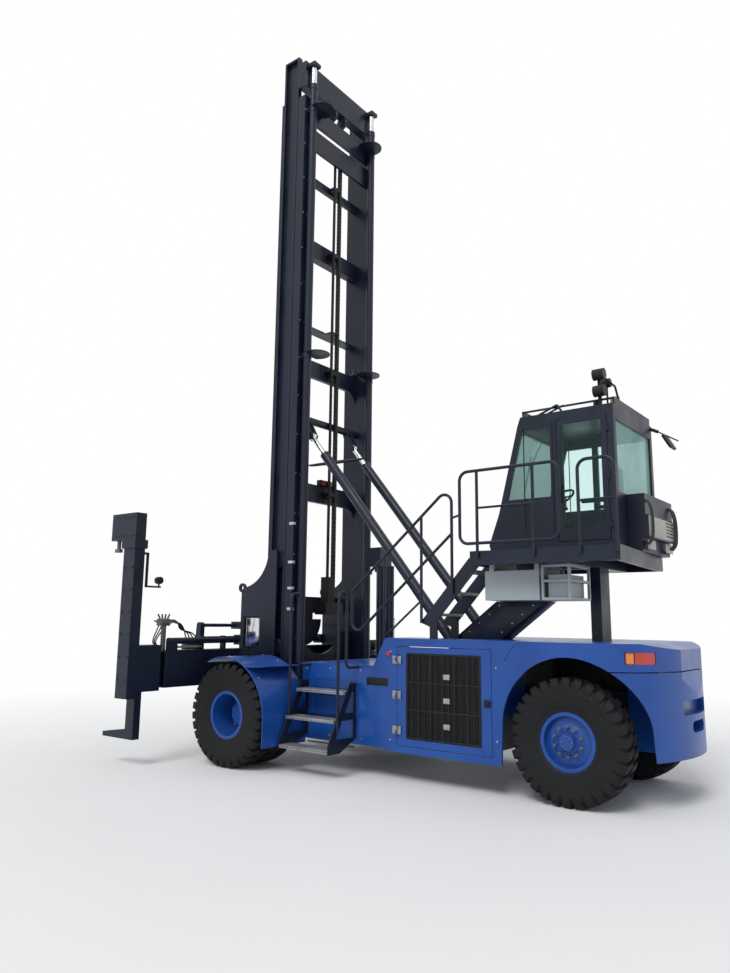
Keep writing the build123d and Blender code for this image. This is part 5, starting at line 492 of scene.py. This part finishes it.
for side_name, side in SIDES:
    twin = bmesh.new()
    add_tyre(twin, 0.0, side * FRONT_OUTER_TYRE)
    add_tyre(twin, 0.0, side * FRONT_INNER_TYRE)
    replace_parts(piece(f"front_tyre_treads_{side_name}", twin, f"front_wheels_{side_name}", RUBBER),
                f"front_tyres_{side_name}")
    single = bmesh.new()
    add_tyre(single, REAR_AXLE, side * REAR_TYRE)
    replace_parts(piece(f"rear_tyre_tread_{side_name}", single, f"rear_wheel_{side_name}", RUBBER),
                f"rear_tyre_{side_name}")
    front_nuts, front_ring = bmesh.new(), bmesh.new()
    wheel_trim(front_nuts, front_ring, 0.0, side, y_disc=1.640, y_flange=2.005, nuts=12,
               nut_circle=0.235, y_hub=1.700, hub_circle=0.135)
    piece(f"front_wheel_nuts_{side_name}", front_nuts, f"front_wheels_{side_name}", STEEL)
    piece(f"front_lock_ring_{side_name}", front_ring, f"front_wheels_{side_name}", BLUE)
    rear_nuts, rear_ring = bmesh.new(), bmesh.new()
    wheel_trim(rear_nuts, rear_ring, REAR_AXLE, side, y_disc=1.133, y_flange=1.160, nuts=10,
               nut_circle=0.160, y_hub=1.179, hub_circle=0.060)
    add_ring(rear_ring, spot(REAR_AXLE, side * 1.136, TYRE), (0, side, 0), 0.118, 0.010, 48, 8)
    piece(f"rear_wheel_nuts_{side_name}", rear_nuts, f"rear_wheel_{side_name}", GREY)
    piece(f"rear_lock_ring_{side_name}", rear_ring, f"rear_wheel_{side_name}", BLUE)


# Chassis and hood

# The side wall's place and the outer face of the hinge leaves on it, from the middle of the machine.
BODY_SIDE = 1.250
HINGE_FACE = 1.262
HINGE_HEIGHTS = (1.477, 1.047, 0.624)
GRILLE_FOOT = 0.552
GRILLE_TOP = 1.556
# The front end, the joint and the rear end of the two tail lamp lenses on a side.
LAMP_PLACES = (-5.154, -5.232, -5.386)
MIRROR_PLACE = 1.665
MIRROR_HALF_WIDTH = 0.125
FENDER_RADIUS = 0.775
LOW_STEP_HEIGHTS = (0.364, 0.720, 1.061)


def add_louvre(bm, x_front, x_rear, y, z_foot, z_top, count, side):
    """Level slats in a frame, set on a side wall."""
    rim = 0.014
    add_box(bm, (x_front, y, z_foot), (x_front - rim, y + side * 0.006, z_top))
    add_box(bm, (x_rear + rim, y, z_foot), (x_rear, y + side * 0.006, z_top))
    add_box(bm, (x_front, y, z_top - rim), (x_rear, y + side * 0.006, z_top))
    add_box(bm, (x_front, y, z_foot), (x_rear, y + side * 0.006, z_foot + rim))
    pitch = (z_top - z_foot - 2 * rim) / count
    for row in range(count):
        z = z_foot + rim + pitch * (row + 0.5)
        half = pitch * 0.28
        add_box(bm, (x_front - rim, y, z - half), (x_rear + rim, y + side * 0.007, z + half), 0.002)


def lamp_skin(x, side):
    """How far out the face of the tail lamps is at a place along the machine."""
    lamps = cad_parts["tail_lamps"]
    tree = BVHTree.FromObject(lamps, bpy.context.evaluated_depsgraph_get())
    on_lamp = min(max(x, LAMP_PLACES[2]), LAMP_PLACES[0])
    hit = tree.ray_cast(spot(on_lamp, side * 3.0, 1.60), Vector((0.0, -side, 0.0)))
    return abs(hit[0].y)


for side_name, side in SIDES:
    grille = bmesh.new()
    add_louvre(grille, -0.89, -1.66, side * BODY_SIDE, 0.72, 1.20, 15, side)
    piece(f"deck_side_louvres_{side_name}", grille, "chassis", BLUE)

    hinges = bmesh.new()
    for z in HINGE_HEIGHTS:
        foot, top = z - 0.052, z + 0.052
        add_box(hinges, (-2.235, side * BODY_SIDE, foot), (-2.300, side * HINGE_FACE, top), 0.004)
        add_rod(hinges, spot(-2.300, side * HINGE_FACE, foot), spot(-2.300, side * HINGE_FACE, top),
                0.011, 16, 0.002)
        for height in (-0.03, 0.03):
            add_bolt(hinges, spot(-2.262, side * HINGE_FACE, z + height), (0, side, 0), 0.008)
    piece(f"hood_hinge_leaves_{side_name}", hinges, "chassis", HINGE)

    leaves = bmesh.new()
    for z in HINGE_HEIGHTS:
        add_box(leaves, (-2.322, side * HINGE_FACE, z - 0.050), (-2.372, side * 1.270, z + 0.050), 0.004)
        for height in (-0.03, 0.03):
            add_bolt(leaves, spot(-2.345, side * 1.268, z + height), (0, side, 0), 0.008)
    piece(f"hood_door_leaves_{side_name}", leaves, f"hood_door_{side_name}", HINGE)

    mesh_bars = bmesh.new()
    low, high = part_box(f"hood_grille_{side_name}")
    face = (high.y if side > 0 else low.y) * side
    for row in range(31):
        z = GRILLE_FOOT + row * 0.0333
        add_box(mesh_bars, (-2.462, side * (face - 0.004), z),
                (-3.478, side * (face + 0.001), z + 0.007), 0.0)
    for column in range(30):
        x = -2.470 - column * 0.0345
        add_box(mesh_bars, (x, side * (face - 0.003), GRILLE_FOOT),
                (x - 0.006, side * (face + 0.002), GRILLE_TOP), 0.0)
    piece(f"hood_grille_mesh_{side_name}", mesh_bars, f"hood_door_{side_name}", PLASTIC)

    grille_frame = bmesh.new()
    for x in (-2.455, -2.800, -3.140, -3.490):
        add_box(grille_frame, (x + 0.012, side * face, 0.540),
                (x - 0.012, side * (face + 0.006), 1.562), 0.003)
    for z in (0.545, 0.880, 1.215, 1.555):
        add_box(grille_frame, (-2.447, side * face, z - 0.011),
                (-3.498, side * (face + 0.005), z + 0.011), 0.003)
    piece(f"hood_grille_frame_{side_name}", grille_frame, f"hood_door_{side_name}", PLASTIC)

    latch = bmesh.new()
    add_box(latch, (-3.546, side * HINGE_FACE, 0.992), (-3.628, side * 1.272, 1.072), 0.005)
    add_box(latch, (-3.560, side * 1.270, 1.020), (-3.612, side * 1.282, 1.044), 0.005)
    piece(f"hood_door_latch_{side_name}", latch, f"hood_door_{side_name}", PLASTIC)

    side_plate = bmesh.new()
    add_box(side_plate, (-1.82, side * 1.249, 1.145), (-2.16, side * 1.253, 1.245), 0.006)
    piece(f"deck_side_plate_{side_name}", side_plate, "chassis", PLASTIC)

    bolts = bmesh.new()
    for x, z in ((-0.78, 1.30), (-0.78, 0.50), (-2.20, 1.58), (-2.20, 0.50), (-1.20, 1.32), (-1.72, 1.32),
                 (-1.20, 0.46), (-1.72, 0.46), (-3.70, 0.62), (-3.70, 1.44)):
        add_bolt(bolts, spot(x, side * BODY_SIDE, z), (0, side, 0), 0.009)
    piece(f"body_side_bolts_{side_name}", bolts, "chassis", STEEL)

    lamp = bmesh.new()
    add_box(lamp, (-5.225, side * 1.2, 1.546), (-5.165, side * 1.206, 1.648), 0.0)
    for dot in lamp.verts:
        sink = -0.004 if abs(dot.co.y) < 1.203 else 0.0015
        dot.co.y = side * (lamp_skin(dot.co.x - FRONT_AXLE, side) + sink)
    piece(f"turn_lens_{side_name}", lamp, "chassis", AMBER)

    bezel = bmesh.new()
    ends = [(x, side * lamp_skin(x, side)) for x in LAMP_PLACES]
    for z in (1.538, 1.656):
        add_rod(bezel, spot(*ends[0], z), spot(*ends[2], z), 0.0045, 8)
    for x, y in ends:
        add_rod(bezel, spot(x, y, 1.536), spot(x, y, 1.658), 0.0045, 8)
    piece(f"tail_lamp_bezel_{side_name}", bezel, "chassis", PLASTIC)

    mirror_face = bmesh.new()
    add_box(mirror_face, (-0.112, side * (MIRROR_PLACE - MIRROR_HALF_WIDTH), 1.60),
            (-0.1085, side * (MIRROR_PLACE + MIRROR_HALF_WIDTH), 1.985), 0.001)
    piece(f"mirror_face_{side_name}", mirror_face, "chassis", CHROME)

    fender_bolts = bmesh.new()
    for x in (-0.58, -0.30, 0.0, 0.30):
        z = TYRE + math.sqrt(FENDER_RADIUS ** 2 - x * x) + 0.001
        for y in (1.34, 1.98):
            add_bolt(fender_bolts, spot(x, side * y, z - 0.002), (x, 0, z - TYRE), 0.009)
    piece(f"fender_bolts_{side_name}", fender_bolts, "chassis", STEEL)


nosings = bmesh.new()
for z in LOW_STEP_HEIGHTS:
    for side in (1, -1):
        add_box(nosings, (-0.835, side * 1.262, z - 0.020), (-1.640, side * 1.266, z - 0.004), 0.001)
piece("low_step_nosings", nosings, "chassis", NAVY)

button = bmesh.new()
add_rod(button, spot(-2.17, 1.249, 1.55), spot(-2.17, 1.262, 1.55), 0.030, 28, 0.003)
add_rod(button, spot(-2.17, 1.260, 1.55), spot(-2.17, 1.278, 1.55), 0.020, 28, 0.004)
piece("stop_button", button, "chassis", RED)

sockets = bmesh.new()
for z in (1.30, 1.02, 0.72):
    add_box(sockets, (-2.985, 1.2475, z - 0.032), (-3.075, 1.2560, z + 0.032), 0.004)
piece("battery_sockets", sockets, "hood_door_left", HINGE)

divider = bmesh.new()
add_box(divider, (-3.86, -0.012, 1.080), (-5.16, 0.012, 1.600), 0.004)
piece("wheel_house_divider", divider, "chassis", PLASTIC)


def add_sloped_box(bm, foot, y, z, lean):
    """A box whose top is pushed along X, as in the cable duct under the cab."""
    before = set(bm.verts)
    add_box(bm, (foot[0], y[0], z[0]), (foot[1], y[1], z[1]), 0.0)
    fresh = [v for v in bm.verts if v not in before]
    for dot in fresh:
        if dot.co.z > (z[0] + z[1]) / 2:
            dot.co.x += lean
    round_off(bm, edges_of(fresh), 0.006)


DUCT_HEIGHTS = (1.748, 2.222)
DUCT_LEAN = -0.62
# How far the duct runs back for each metre that it rises.
DUCT_SLOPE = 1.31
duct = bmesh.new()
add_sloped_box(duct, (-2.790, -3.440), (0.30, 0.62), DUCT_HEIGHTS, DUCT_LEAN)
add_sloped_box(duct, (-2.770, -2.800), (0.29, 0.63), DUCT_HEIGHTS, DUCT_LEAN)
piece("cable_duct_to_the_cab", duct, "chassis", NAVY)

duct_bolts = bmesh.new()
for step in range(4):
    z = 1.84 + 0.11 * step
    for x in (-2.88, -3.34):
        add_bolt(duct_bolts, spot(x - (z - 1.75) * DUCT_SLOPE, 0.62, z), (0, 1, 0), 0.008)
piece("cable_duct_bolts", duct_bolts, "chassis", STEEL)


# Mast

CHAIN_LINKS = 112
CHAIN_FOOT = 2.27
CHAIN_PITCH = 0.0688
chain = bmesh.new()
for count in range(CHAIN_LINKS):
    z = CHAIN_FOOT + count * CHAIN_PITCH
    add_box(chain, (-0.030, -0.1485, z), (-0.090, -0.0915, z + 0.056), 0.004)
    add_rod(chain, spot(-0.060, -0.151, z + 0.028), spot(-0.060, -0.089, z + 0.028), 0.012, 10)
piece("energy_chain_links", chain, "mast", PLASTIC)

FLANGE_BOLT_PITCH = 0.62
flange_bolts = bmesh.new()
for side in (1, -1):
    for z in (FLANGE_BOLT_PITCH * i + 1.7 for i in range(15)):
        for y in (0.815, 0.905):
            add_bolt(flange_bolts, spot(-0.150, side * y, z), (-1, 0, 0), 0.008)
piece("mast_flange_bolts", flange_bolts, "mast", STEEL)

# Painted highlights: near-white strips across the near upright's flange and its corner, where light glints
# on the mast.
bands = bmesh.new()
for z in (3.406, 2.820, 2.431, 2.125):
    add_box(bands, (-0.148, 0.929, z - 0.020), (-0.060, 0.9315, z + 0.020), 0.0)
    add_box(bands, (-0.1515, 0.880, z - 0.020), (-0.149, 0.930, z + 0.020), 0.0)
piece("mast_painted_highlights", bands, "mast", MAST_HIGHLIGHT_PAINT)

box_lamp = bmesh.new()
add_box(box_lamp, (0.020, -0.25, 4.121), (0.110, 0.13, 4.215), 0.006)
piece("mast_lamp_box", box_lamp, "mast", PLASTIC)

red_eye = bmesh.new()
add_box(red_eye, (0.016, -0.21, 4.135), (0.020, -0.09, 4.200), 0.001)
add_box(red_eye, (0.016, 0.00, 4.135), (0.020, 0.09, 4.200), 0.001)
piece("mast_lamp_lenses", red_eye, "mast", RED)


# Fixed pipes

def pipe(name, points, diameter, body):
    """A bent pipe, fixed at both ends, that follows the given points."""
    curve = bpy.data.curves.new(name, "CURVE")
    curve.dimensions = "3D"
    curve.bevel_depth = diameter / 2
    curve.bevel_resolution = 4
    curve.resolution_u = 10
    curve.use_fill_caps = True
    line = curve.splines.new("NURBS")
    line.points.add(len(points) - 1)
    for dot, place_of_dot in zip(line.points, points):
        dot.co = (*spot(*place_of_dot), 1.0)
    line.order_u = 3
    line.use_endpoint_u = True
    curve.materials.append(HOSE)
    made = bpy.data.objects.new(name, curve)
    bpy.context.scene.collection.objects.link(made)
    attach(made, body)


# Cab

def add_pad(bm, centre, size, crown, thin):
    """A crowned pad whose thin direction bulges and whose corners pull in."""
    centre = Vector(centre)
    before = set(bm.verts)
    made = bmesh.ops.create_cube(bm, size=2.0)
    bmesh.ops.subdivide_edges(bm, edges=list(edges_of(made["verts"])), cuts=7, use_grid_fill=True)
    for dot in [v for v in bm.verts if v not in before]:
        a = dot.co.copy()
        wide = [i for i in range(3) if i != thin]
        swell = (1 - a[wide[0]] ** 4) * (1 - a[wide[1]] ** 4)
        pull = 1 - 0.05 * a[wide[0]] ** 2 * a[wide[1]] ** 2 - 0.05 * (1 - a[thin] ** 2 < 0.01)
        channel = 0.05 * math.exp(-((abs(a[wide[1]]) - 0.5) / 0.06) ** 2)
        place_in_pad = Vector((0, 0, 0))
        for i in range(3):
            if i == thin:
                place_in_pad[i] = a[i] * size[i] / 2 * (1 - crown * (1 - swell) - channel * swell)
            else:
                place_in_pad[i] = a[i] * size[i] / 2 * pull
        dot.co = centre + place_in_pad


# Where the seat's middle is along the machine.
SEAT_X = -4.560
seat = bmesh.new()
add_pad(seat, spot(SEAT_X + 0.02, 0.0, 3.295), (0.455, 0.475, 0.108), 0.30, 2)
add_pad(seat, spot(SEAT_X - 0.175, 0.0, 3.640), (0.105, 0.440, 0.560), 0.30, 0)
seat_pads = piece("seat_pads", seat, "chassis", CLOTH, crease=80.0)
softer = seat_pads.modifiers.new("soft", "SUBSURF")
softer.levels = 1
softer.render_levels = 1
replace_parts(seat_pads, "cab_seat")

seat_frame = bmesh.new()
add_box(seat_frame, (SEAT_X + 0.20, -0.17, 2.915), (SEAT_X - 0.17, 0.17, 3.235), 0.02)
add_box(seat_frame, (SEAT_X - 0.175, -0.20, 3.20), (SEAT_X - 0.235, 0.20, 3.90), 0.02)
for side in (1, -1):
    add_box(seat_frame, (SEAT_X + 0.14, side * 0.255, 3.43), (SEAT_X - 0.19, side * 0.315, 3.475), 0.014)
    add_box(seat_frame, (SEAT_X - 0.16, side * 0.215, 3.36), (SEAT_X - 0.20, side * 0.30, 3.46), 0.006)
piece("seat_frame", seat_frame, "chassis", PLASTIC)

STEERING_CENTRE = spot(-4.02, 0.0, 3.56)
STEERING_AXIS = (0.5, 0, 0.85)
steering = bmesh.new()
add_ring(steering, STEERING_CENTRE, STEERING_AXIS, 0.19, 0.015, 48, 12)
add_rod(steering, spot(-3.95, 0.0, 3.42), STEERING_CENTRE, 0.022, 16, 0.002)
for turn in (0.4, 2.5, 4.6):
    rim_end = place_on_circle(STEERING_CENTRE, STEERING_AXIS, 0.185, turn)
    add_rod(steering, spot(-4.02, 0.0, 3.558), rim_end, 0.010, 10)
piece("steering_wheel", steering, "chassis", PLASTIC)

screen = bmesh.new()
add_box(screen, (-3.905, -0.42, 3.50), (-3.930, -0.18, 3.66), 0.006)
add_rod(screen, spot(-3.915, -0.25, 3.42), spot(-3.915, -0.25, 3.52), 0.012, 12)
piece("cab_monitor", screen, "chassis", PLASTIC)

seals = bmesh.new()
for side in (1, -1):
    for x, top in ((-3.86, 4.38), (-4.24, 4.42)):
        add_rod(seals, spot(x, side * 0.713, 3.05), spot(x, side * 0.713, top), 0.007, 10)
piece("cab_window_seals", seals, "chassis", PLASTIC)

wiper = bmesh.new()
add_rod(wiper, spot(-3.770, -0.10, 4.44), spot(-3.640, 0.16, 3.90), 0.007, 10)
add_rod(wiper, spot(-3.700, 0.16, 4.13), spot(-3.580, 0.16, 3.62), 0.009, 10)
add_box(wiper, (-3.75, -0.14, 4.40), (-3.81, -0.06, 4.46), 0.008)
piece("front_wiper", wiper, "chassis", PLASTIC)

handle = bmesh.new()
add_rod(handle, spot(-4.345, 0.742, 3.42), spot(-4.345, 0.742, 3.60), 0.010, 12, 0.003)
add_box(handle, (-4.332, 0.716, 3.40), (-4.358, 0.744, 3.425), 0.004)
add_box(handle, (-4.332, 0.716, 3.595), (-4.358, 0.744, 3.62), 0.004)
piece("cab_door_handle", handle, "cab_door", PLASTIC)

rear_panels = bmesh.new()
add_box(rear_panels, (-5.243, -0.70, 2.975), (-5.2500, 0.345, 3.215), 0.003)
for y in (-0.52, 0.16):
    add_box(rear_panels, (-5.205, y - 0.14, 2.83), (-5.215, y + 0.14, 2.94), 0.003)
piece("cab_rear_panel", rear_panels, "chassis", PALE)

rear_vents = bmesh.new()
for z in (3.27, 3.30, 3.33, 3.36, 3.39, 3.42):
    add_box(rear_vents, (-5.159, -0.16, z), (-5.167, 0.32, z + 0.014), 0.002)
for z in (3.02, 3.06, 3.10, 3.14, 3.18):
    add_box(rear_vents, (-5.248, -0.66, z), (-5.253, -0.30, z + 0.012), 0.002)
piece("cab_rear_vents", rear_vents, "chassis", PLASTIC)

fan = bmesh.new()
for turn in range(4):
    add_ring(fan, spot(-5.167, -0.42, 3.355), (1, 0, 0), 0.030 + 0.027 * turn, 0.003, 40, 6)
piece("cab_rear_fan_guard", fan, "chassis", PLASTIC)

for count, y in enumerate((-0.66, -0.60, -0.54, 0.28, 0.33)):
    points = ((-5.16, y, 3.40), (-5.23, y, 3.42), (-5.275, y - 0.01, 3.28), (-5.275, y - 0.02, 3.05),
              (-5.262, y, 2.90), (-5.15, y, 2.83))
    pipe(f"cab_rear_pipe_{count}", points, 0.020, "chassis")

arm_mirror = bmesh.new()
add_rod(arm_mirror, spot(-4.99, -0.66, 4.50), spot(-5.10, -0.72, 4.45), 0.022, 14, 0.004)
add_rod(arm_mirror, spot(-5.10, -0.72, 4.45), spot(-5.34, -0.74, 4.30), 0.009, 12)
add_box(arm_mirror, (-5.20, -0.86, 4.20), (-5.24, -0.62, 4.40), 0.012, Matrix.Rotation(0.5, 4, "Y"))
piece("cab_arm_mirror", arm_mirror, "chassis", PLASTIC)

lamp_brace = bmesh.new()
add_rod(lamp_brace, spot(-4.851, 0.62, 4.92), spot(-4.96, 0.45, 4.80), 0.013, 14)
add_rod(lamp_brace, spot(-4.96, 0.45, 4.80), spot(-4.99, 0.36, 4.535), 0.013, 14)
add_rod(lamp_brace, spot(-4.851, 0.42, 4.53), spot(-4.851, 0.42, 4.84), 0.012, 14)
add_rod(lamp_brace, spot(-4.79, 0.42, 4.87), spot(-4.90, 0.42, 4.87), 0.058, 24, 0.012)
add_rod(lamp_brace, spot(-4.79, 0.655, 4.53), spot(-4.79, 0.655, 4.60), 0.03, 18, 0.006)
piece("roof_lamp_brace", lamp_brace, "chassis", PLASTIC)

guard_rails = bmesh.new()
for side in (1, -1):
    add_rod(guard_rails, spot(-3.80, side * 0.66, 4.44), spot(-4.30, side * 0.66, 4.63), 0.014, 14, 0.004)
    add_rod(guard_rails, spot(-3.86, side * 0.60, 4.45), spot(-4.36, side * 0.60, 4.63), 0.012, 14, 0.004)
    add_rod(guard_rails, spot(-4.30, side * 0.66, 4.63), spot(-4.36, side * 0.66, 4.53), 0.014, 14, 0.004)
piece("roof_guard_rails", guard_rails, "chassis", NAVY)

beacon_low, beacon_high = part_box("beacon")
beacon_middle = (beacon_low + beacon_high) / 2
collar = bmesh.new()
add_ring(collar, (beacon_middle.x, beacon_middle.y, beacon_low.z + 0.012), (0, 0, 1),
         (beacon_high.x - beacon_low.x) / 2 + 0.004, 0.006, 36, 8)
piece("beacon_collar", collar, "chassis", PLASTIC)


# Spreader

beam_bolts = bmesh.new()
for side in (1, -1):
    for y in (0.30 * i + 0.25 for i in range(7)):
        for z in (1.06, 1.47):
            add_bolt(beam_bolts, spot(0.880, side * y, z), (-1, 0, 0), 0.011)
piece("spreader_beam_bolts", beam_bolts, "spreader", NAVY)

for side_name, side in SIDES:
    arm = f"spreader_arm_{side_name}"
    low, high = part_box(arm)
    outer_face = high.y if side > 0 else low.y
    post_bolts = bmesh.new()
    for z in (1.15 + 0.3 * i for i in range(6)):
        for x in (0.89, 1.06):
            add_bolt(post_bolts, spot(x, side * 3.010, z), (0, side, 0), 0.012)
    for x in (0.92, 1.10, 1.28):
        for z in (3.09, 3.35):
            add_bolt(post_bolts, spot(x, outer_face, z), (0, side, 0), 0.010)
    piece(f"arm_post_bolts_{side_name}", post_bolts, arm, NAVY)

work_lamp = bmesh.new()
add_box(work_lamp, (0.955, 2.845, 2.845), (0.995, 2.690, 2.875), 0.004)
add_box(work_lamp, (0.955, 2.715, 2.875), (0.995, 2.690, 2.390), 0.004)
add_box(work_lamp, (0.955, 2.715, 2.390), (0.995, 2.460, 2.415), 0.004)
add_rod(work_lamp, spot(0.975, 2.485, 2.41), spot(0.975, 2.485, 2.46), 0.012, 12)
add_rod(work_lamp, spot(0.930, 2.485, 2.495), spot(1.025, 2.485, 2.495), 0.052, 28, 0.014)
piece("arm_work_lamp_bracket", work_lamp, "spreader_arm_left", PLASTIC)

valves = bmesh.new()
add_box(valves, (0.955, 2.325, 1.510), (1.005, 2.385, 1.900), 0.008)
add_box(valves, (0.935, 2.270, 1.860), (1.045, 2.440, 1.960), 0.012)
add_box(valves, (0.940, 1.720, 1.525), (1.040, 1.980, 1.660), 0.010)
add_box(valves, (0.940, -0.200, 1.525), (1.050, 0.200, 1.660), 0.010)
for y in (2.295, 2.335, 2.375, 2.415):
    spread = y - 2.355
    add_rod(valves, spot(0.990, y, 1.950), spot(0.990, y + spread * 0.7, 2.025), 0.013, 8, 0.003)
    add_rod(valves, spot(1.040, y, 1.910), spot(1.085, y + spread * 0.5, 1.930), 0.012, 8, 0.003)
    add_rod(valves, spot(0.940, y, 1.890), spot(0.900, y + spread * 0.5, 1.915), 0.012, 8, 0.003)
for y in (1.76, 1.82, 1.88, 1.94):
    add_rod(valves, spot(0.99, y, 1.655), spot(0.99, y, 1.70), 0.014, 6)
piece("spreader_valve_blocks", valves, "spreader", GREY)

rack = bmesh.new()
for count in range(26):
    y = 2.225 - 0.0200 * count
    add_box(rack, (0.900, y, 1.548), (0.925, y - 0.011, 1.578), 0.002)
piece("beam_feed_rack", rack, "spreader", HINGE)

for count in range(4):
    end = 1.76 + 0.06 * count
    points = ((0.955 - 0.015 * count, 2.285, 1.93), (0.950 - 0.015 * count, 2.21, 1.955 - 0.02 * count),
              (0.955, 2.12 - 0.015 * count, 1.90), (0.970, 2.08 - 0.03 * count, 1.80),
              (0.985, end + 0.03, 1.76), (0.990, end, 1.69))
    pipe(f"spreader_pipe_{count}", points, 0.019, "spreader")

for count in range(3):
    points = ((1.030, 2.30 + 0.05 * count, 1.87), (1.060, 2.31 + 0.05 * count, 1.80),
              (1.070, 2.40 + 0.03 * count, 1.68), (1.050, 2.44 + 0.02 * count, 1.60), (1.000, 2.36, 1.54))
    pipe(f"valve_pipe_{count}", points, 0.018, "spreader")

for count, y in enumerate((-0.15, -0.05, 0.05, 0.15)):
    ahead = -0.02 * count
    points = ((0.995 + ahead, y, 1.655), (0.99 + ahead, y + 0.02, 1.695), (0.985 + ahead, y + 0.18, 1.700),
              (0.985 + ahead, 1.20, 1.700), (0.985 + ahead, 1.66, 1.700), (0.99 + ahead, 1.74, 1.690),
              (0.99 + ahead, 1.76 + 0.05 * count, 1.64))
    pipe(f"beam_pipe_{count}", points, 0.016, "spreader")

clamps = bmesh.new()
for y in (0.45, 0.85, 1.25, 1.68):
    add_box(clamps, (0.905, y - 0.02, 1.515), (1.005, y + 0.02, 1.716), 0.006)
piece("beam_pipe_clamps", clamps, "spreader", NAVY)


# Floor, light and camera

FLOOR_RADIUS = 16.0
# The floor is solid up to the first distance and gone at the second.
FLOOR_FADE = (5.0, 14.0)
SKY_STRENGTH = 0.60
SUN_STRENGTH = 1.4
SUN_SPREAD = math.radians(25)
SUN_DIRECTION = (-0.15, 0.75, 0.85)
PHOTO_PLACE = (-6.029, 9.370, 1.967)
PHOTO_HEADING = (0.612, -0.791, 0.0)
PHOTO_PITCH = math.radians(9.93)
PHOTO_ROLL = math.radians(0.64)
PHOTO_LENS = 28.30


def make_floor():
    """A pale round floor that fades into the white behind it."""
    bm = bmesh.new()
    bmesh.ops.create_circle(bm, cap_ends=True, segments=96, radius=FLOOR_RADIUS)
    mesh = bpy.data.meshes.new("studio_floor")
    bm.to_mesh(mesh)
    bm.free()
    floor = bpy.data.objects.new("studio_floor", mesh)
    bpy.context.scene.collection.objects.link(floor)
    material = bpy.data.materials.new("pale studio floor")
    material.use_nodes = True
    tree = material.node_tree
    shader = tree.nodes["Principled BSDF"]
    output = tree.nodes["Material Output"]
    place = add_node(tree, "ShaderNodeTexCoord").outputs["Object"]
    cloudy = noise(tree, place, 0.8, 4.0)
    wire(tree, mixed(tree, cloudy, (0.88, 0.88, 0.88), (0.92, 0.92, 0.92)), shader.inputs["Base Color"])
    shader.inputs["Roughness"].default_value = 0.9
    shader.inputs["Specular IOR Level"].default_value = 0.1
    length = add_node(tree, "ShaderNodeVectorMath", operation="LENGTH")
    wire(tree, place, length.inputs[0])
    fade = ramp(tree, length.outputs["Value"], *FLOOR_FADE)
    clear = add_node(tree, "ShaderNodeBsdfTransparent")
    both = add_node(tree, "ShaderNodeMixShader")
    wire(tree, fade, both.inputs["Fac"])
    wire(tree, shader.outputs["BSDF"], both.inputs[1])
    wire(tree, clear.outputs["BSDF"], both.inputs[2])
    wire(tree, both.outputs["Shader"], output.inputs["Surface"])
    mesh.materials.append(material)


def make_light():
    """White behind the object, an even sky on it and a soft sun from behind the camera, on its left."""
    world = bpy.data.worlds.new("studio")
    bpy.context.scene.world = world
    world.use_nodes = True
    tree = world.node_tree
    tree.nodes.clear()
    path = add_node(tree, "ShaderNodeLightPath")
    seen = maths(tree, "MAXIMUM", path.outputs["Is Camera Ray"],
                 maths(tree, "MAXIMUM", path.outputs["Is Glossy Ray"], path.outputs["Is Transmission Ray"]))
    white = add_node(tree, "ShaderNodeBackground")
    white.inputs["Color"].default_value = (1.0, 1.0, 1.0, 1.0)
    white.inputs["Strength"].default_value = 1.0
    soft = add_node(tree, "ShaderNodeBackground")
    soft.inputs["Color"].default_value = (0.95, 0.97, 1.0, 1.0)
    soft.inputs["Strength"].default_value = SKY_STRENGTH
    both = add_node(tree, "ShaderNodeMixShader")
    output = add_node(tree, "ShaderNodeOutputWorld")
    wire(tree, seen, both.inputs["Fac"])
    wire(tree, soft.outputs["Background"], both.inputs[1])
    wire(tree, white.outputs["Background"], both.inputs[2])
    wire(tree, both.outputs["Shader"], output.inputs["Surface"])
    sun = bpy.data.lights.new("soft_sun", "SUN")
    sun.energy = SUN_STRENGTH
    sun.angle = SUN_SPREAD
    lamp = bpy.data.objects.new("soft_sun", sun)
    lamp.rotation_euler = Vector(SUN_DIRECTION).to_track_quat("Z", "Y").to_euler()
    bpy.context.scene.collection.objects.link(lamp)


def make_camera():
    """The photograph's own place and angle."""
    flat = Vector(PHOTO_HEADING).normalized()
    ahead = flat * math.cos(PHOTO_PITCH) + Vector((0.0, 0.0, math.sin(PHOTO_PITCH)))
    level = ahead.cross(Vector((0, 0, 1))).normalized()
    upright = level.cross(ahead)
    right = level * math.cos(PHOTO_ROLL) + upright * math.sin(PHOTO_ROLL)
    up = upright * math.cos(PHOTO_ROLL) - level * math.sin(PHOTO_ROLL)
    data = bpy.data.cameras.new("photo_camera")
    data.lens = PHOTO_LENS
    data.sensor_width = 36.0
    data.clip_end = 200.0
    camera = bpy.data.objects.new("photo_camera", data)
    turn = Matrix((right, up, -ahead)).transposed().to_4x4()
    camera.matrix_world = Matrix.Translation(PHOTO_PLACE) @ turn
    bpy.context.scene.collection.objects.link(camera)
    bpy.context.scene.camera = camera


make_floor()
make_light()
make_camera()
bpy.context.scene.view_settings.view_transform = "Standard"
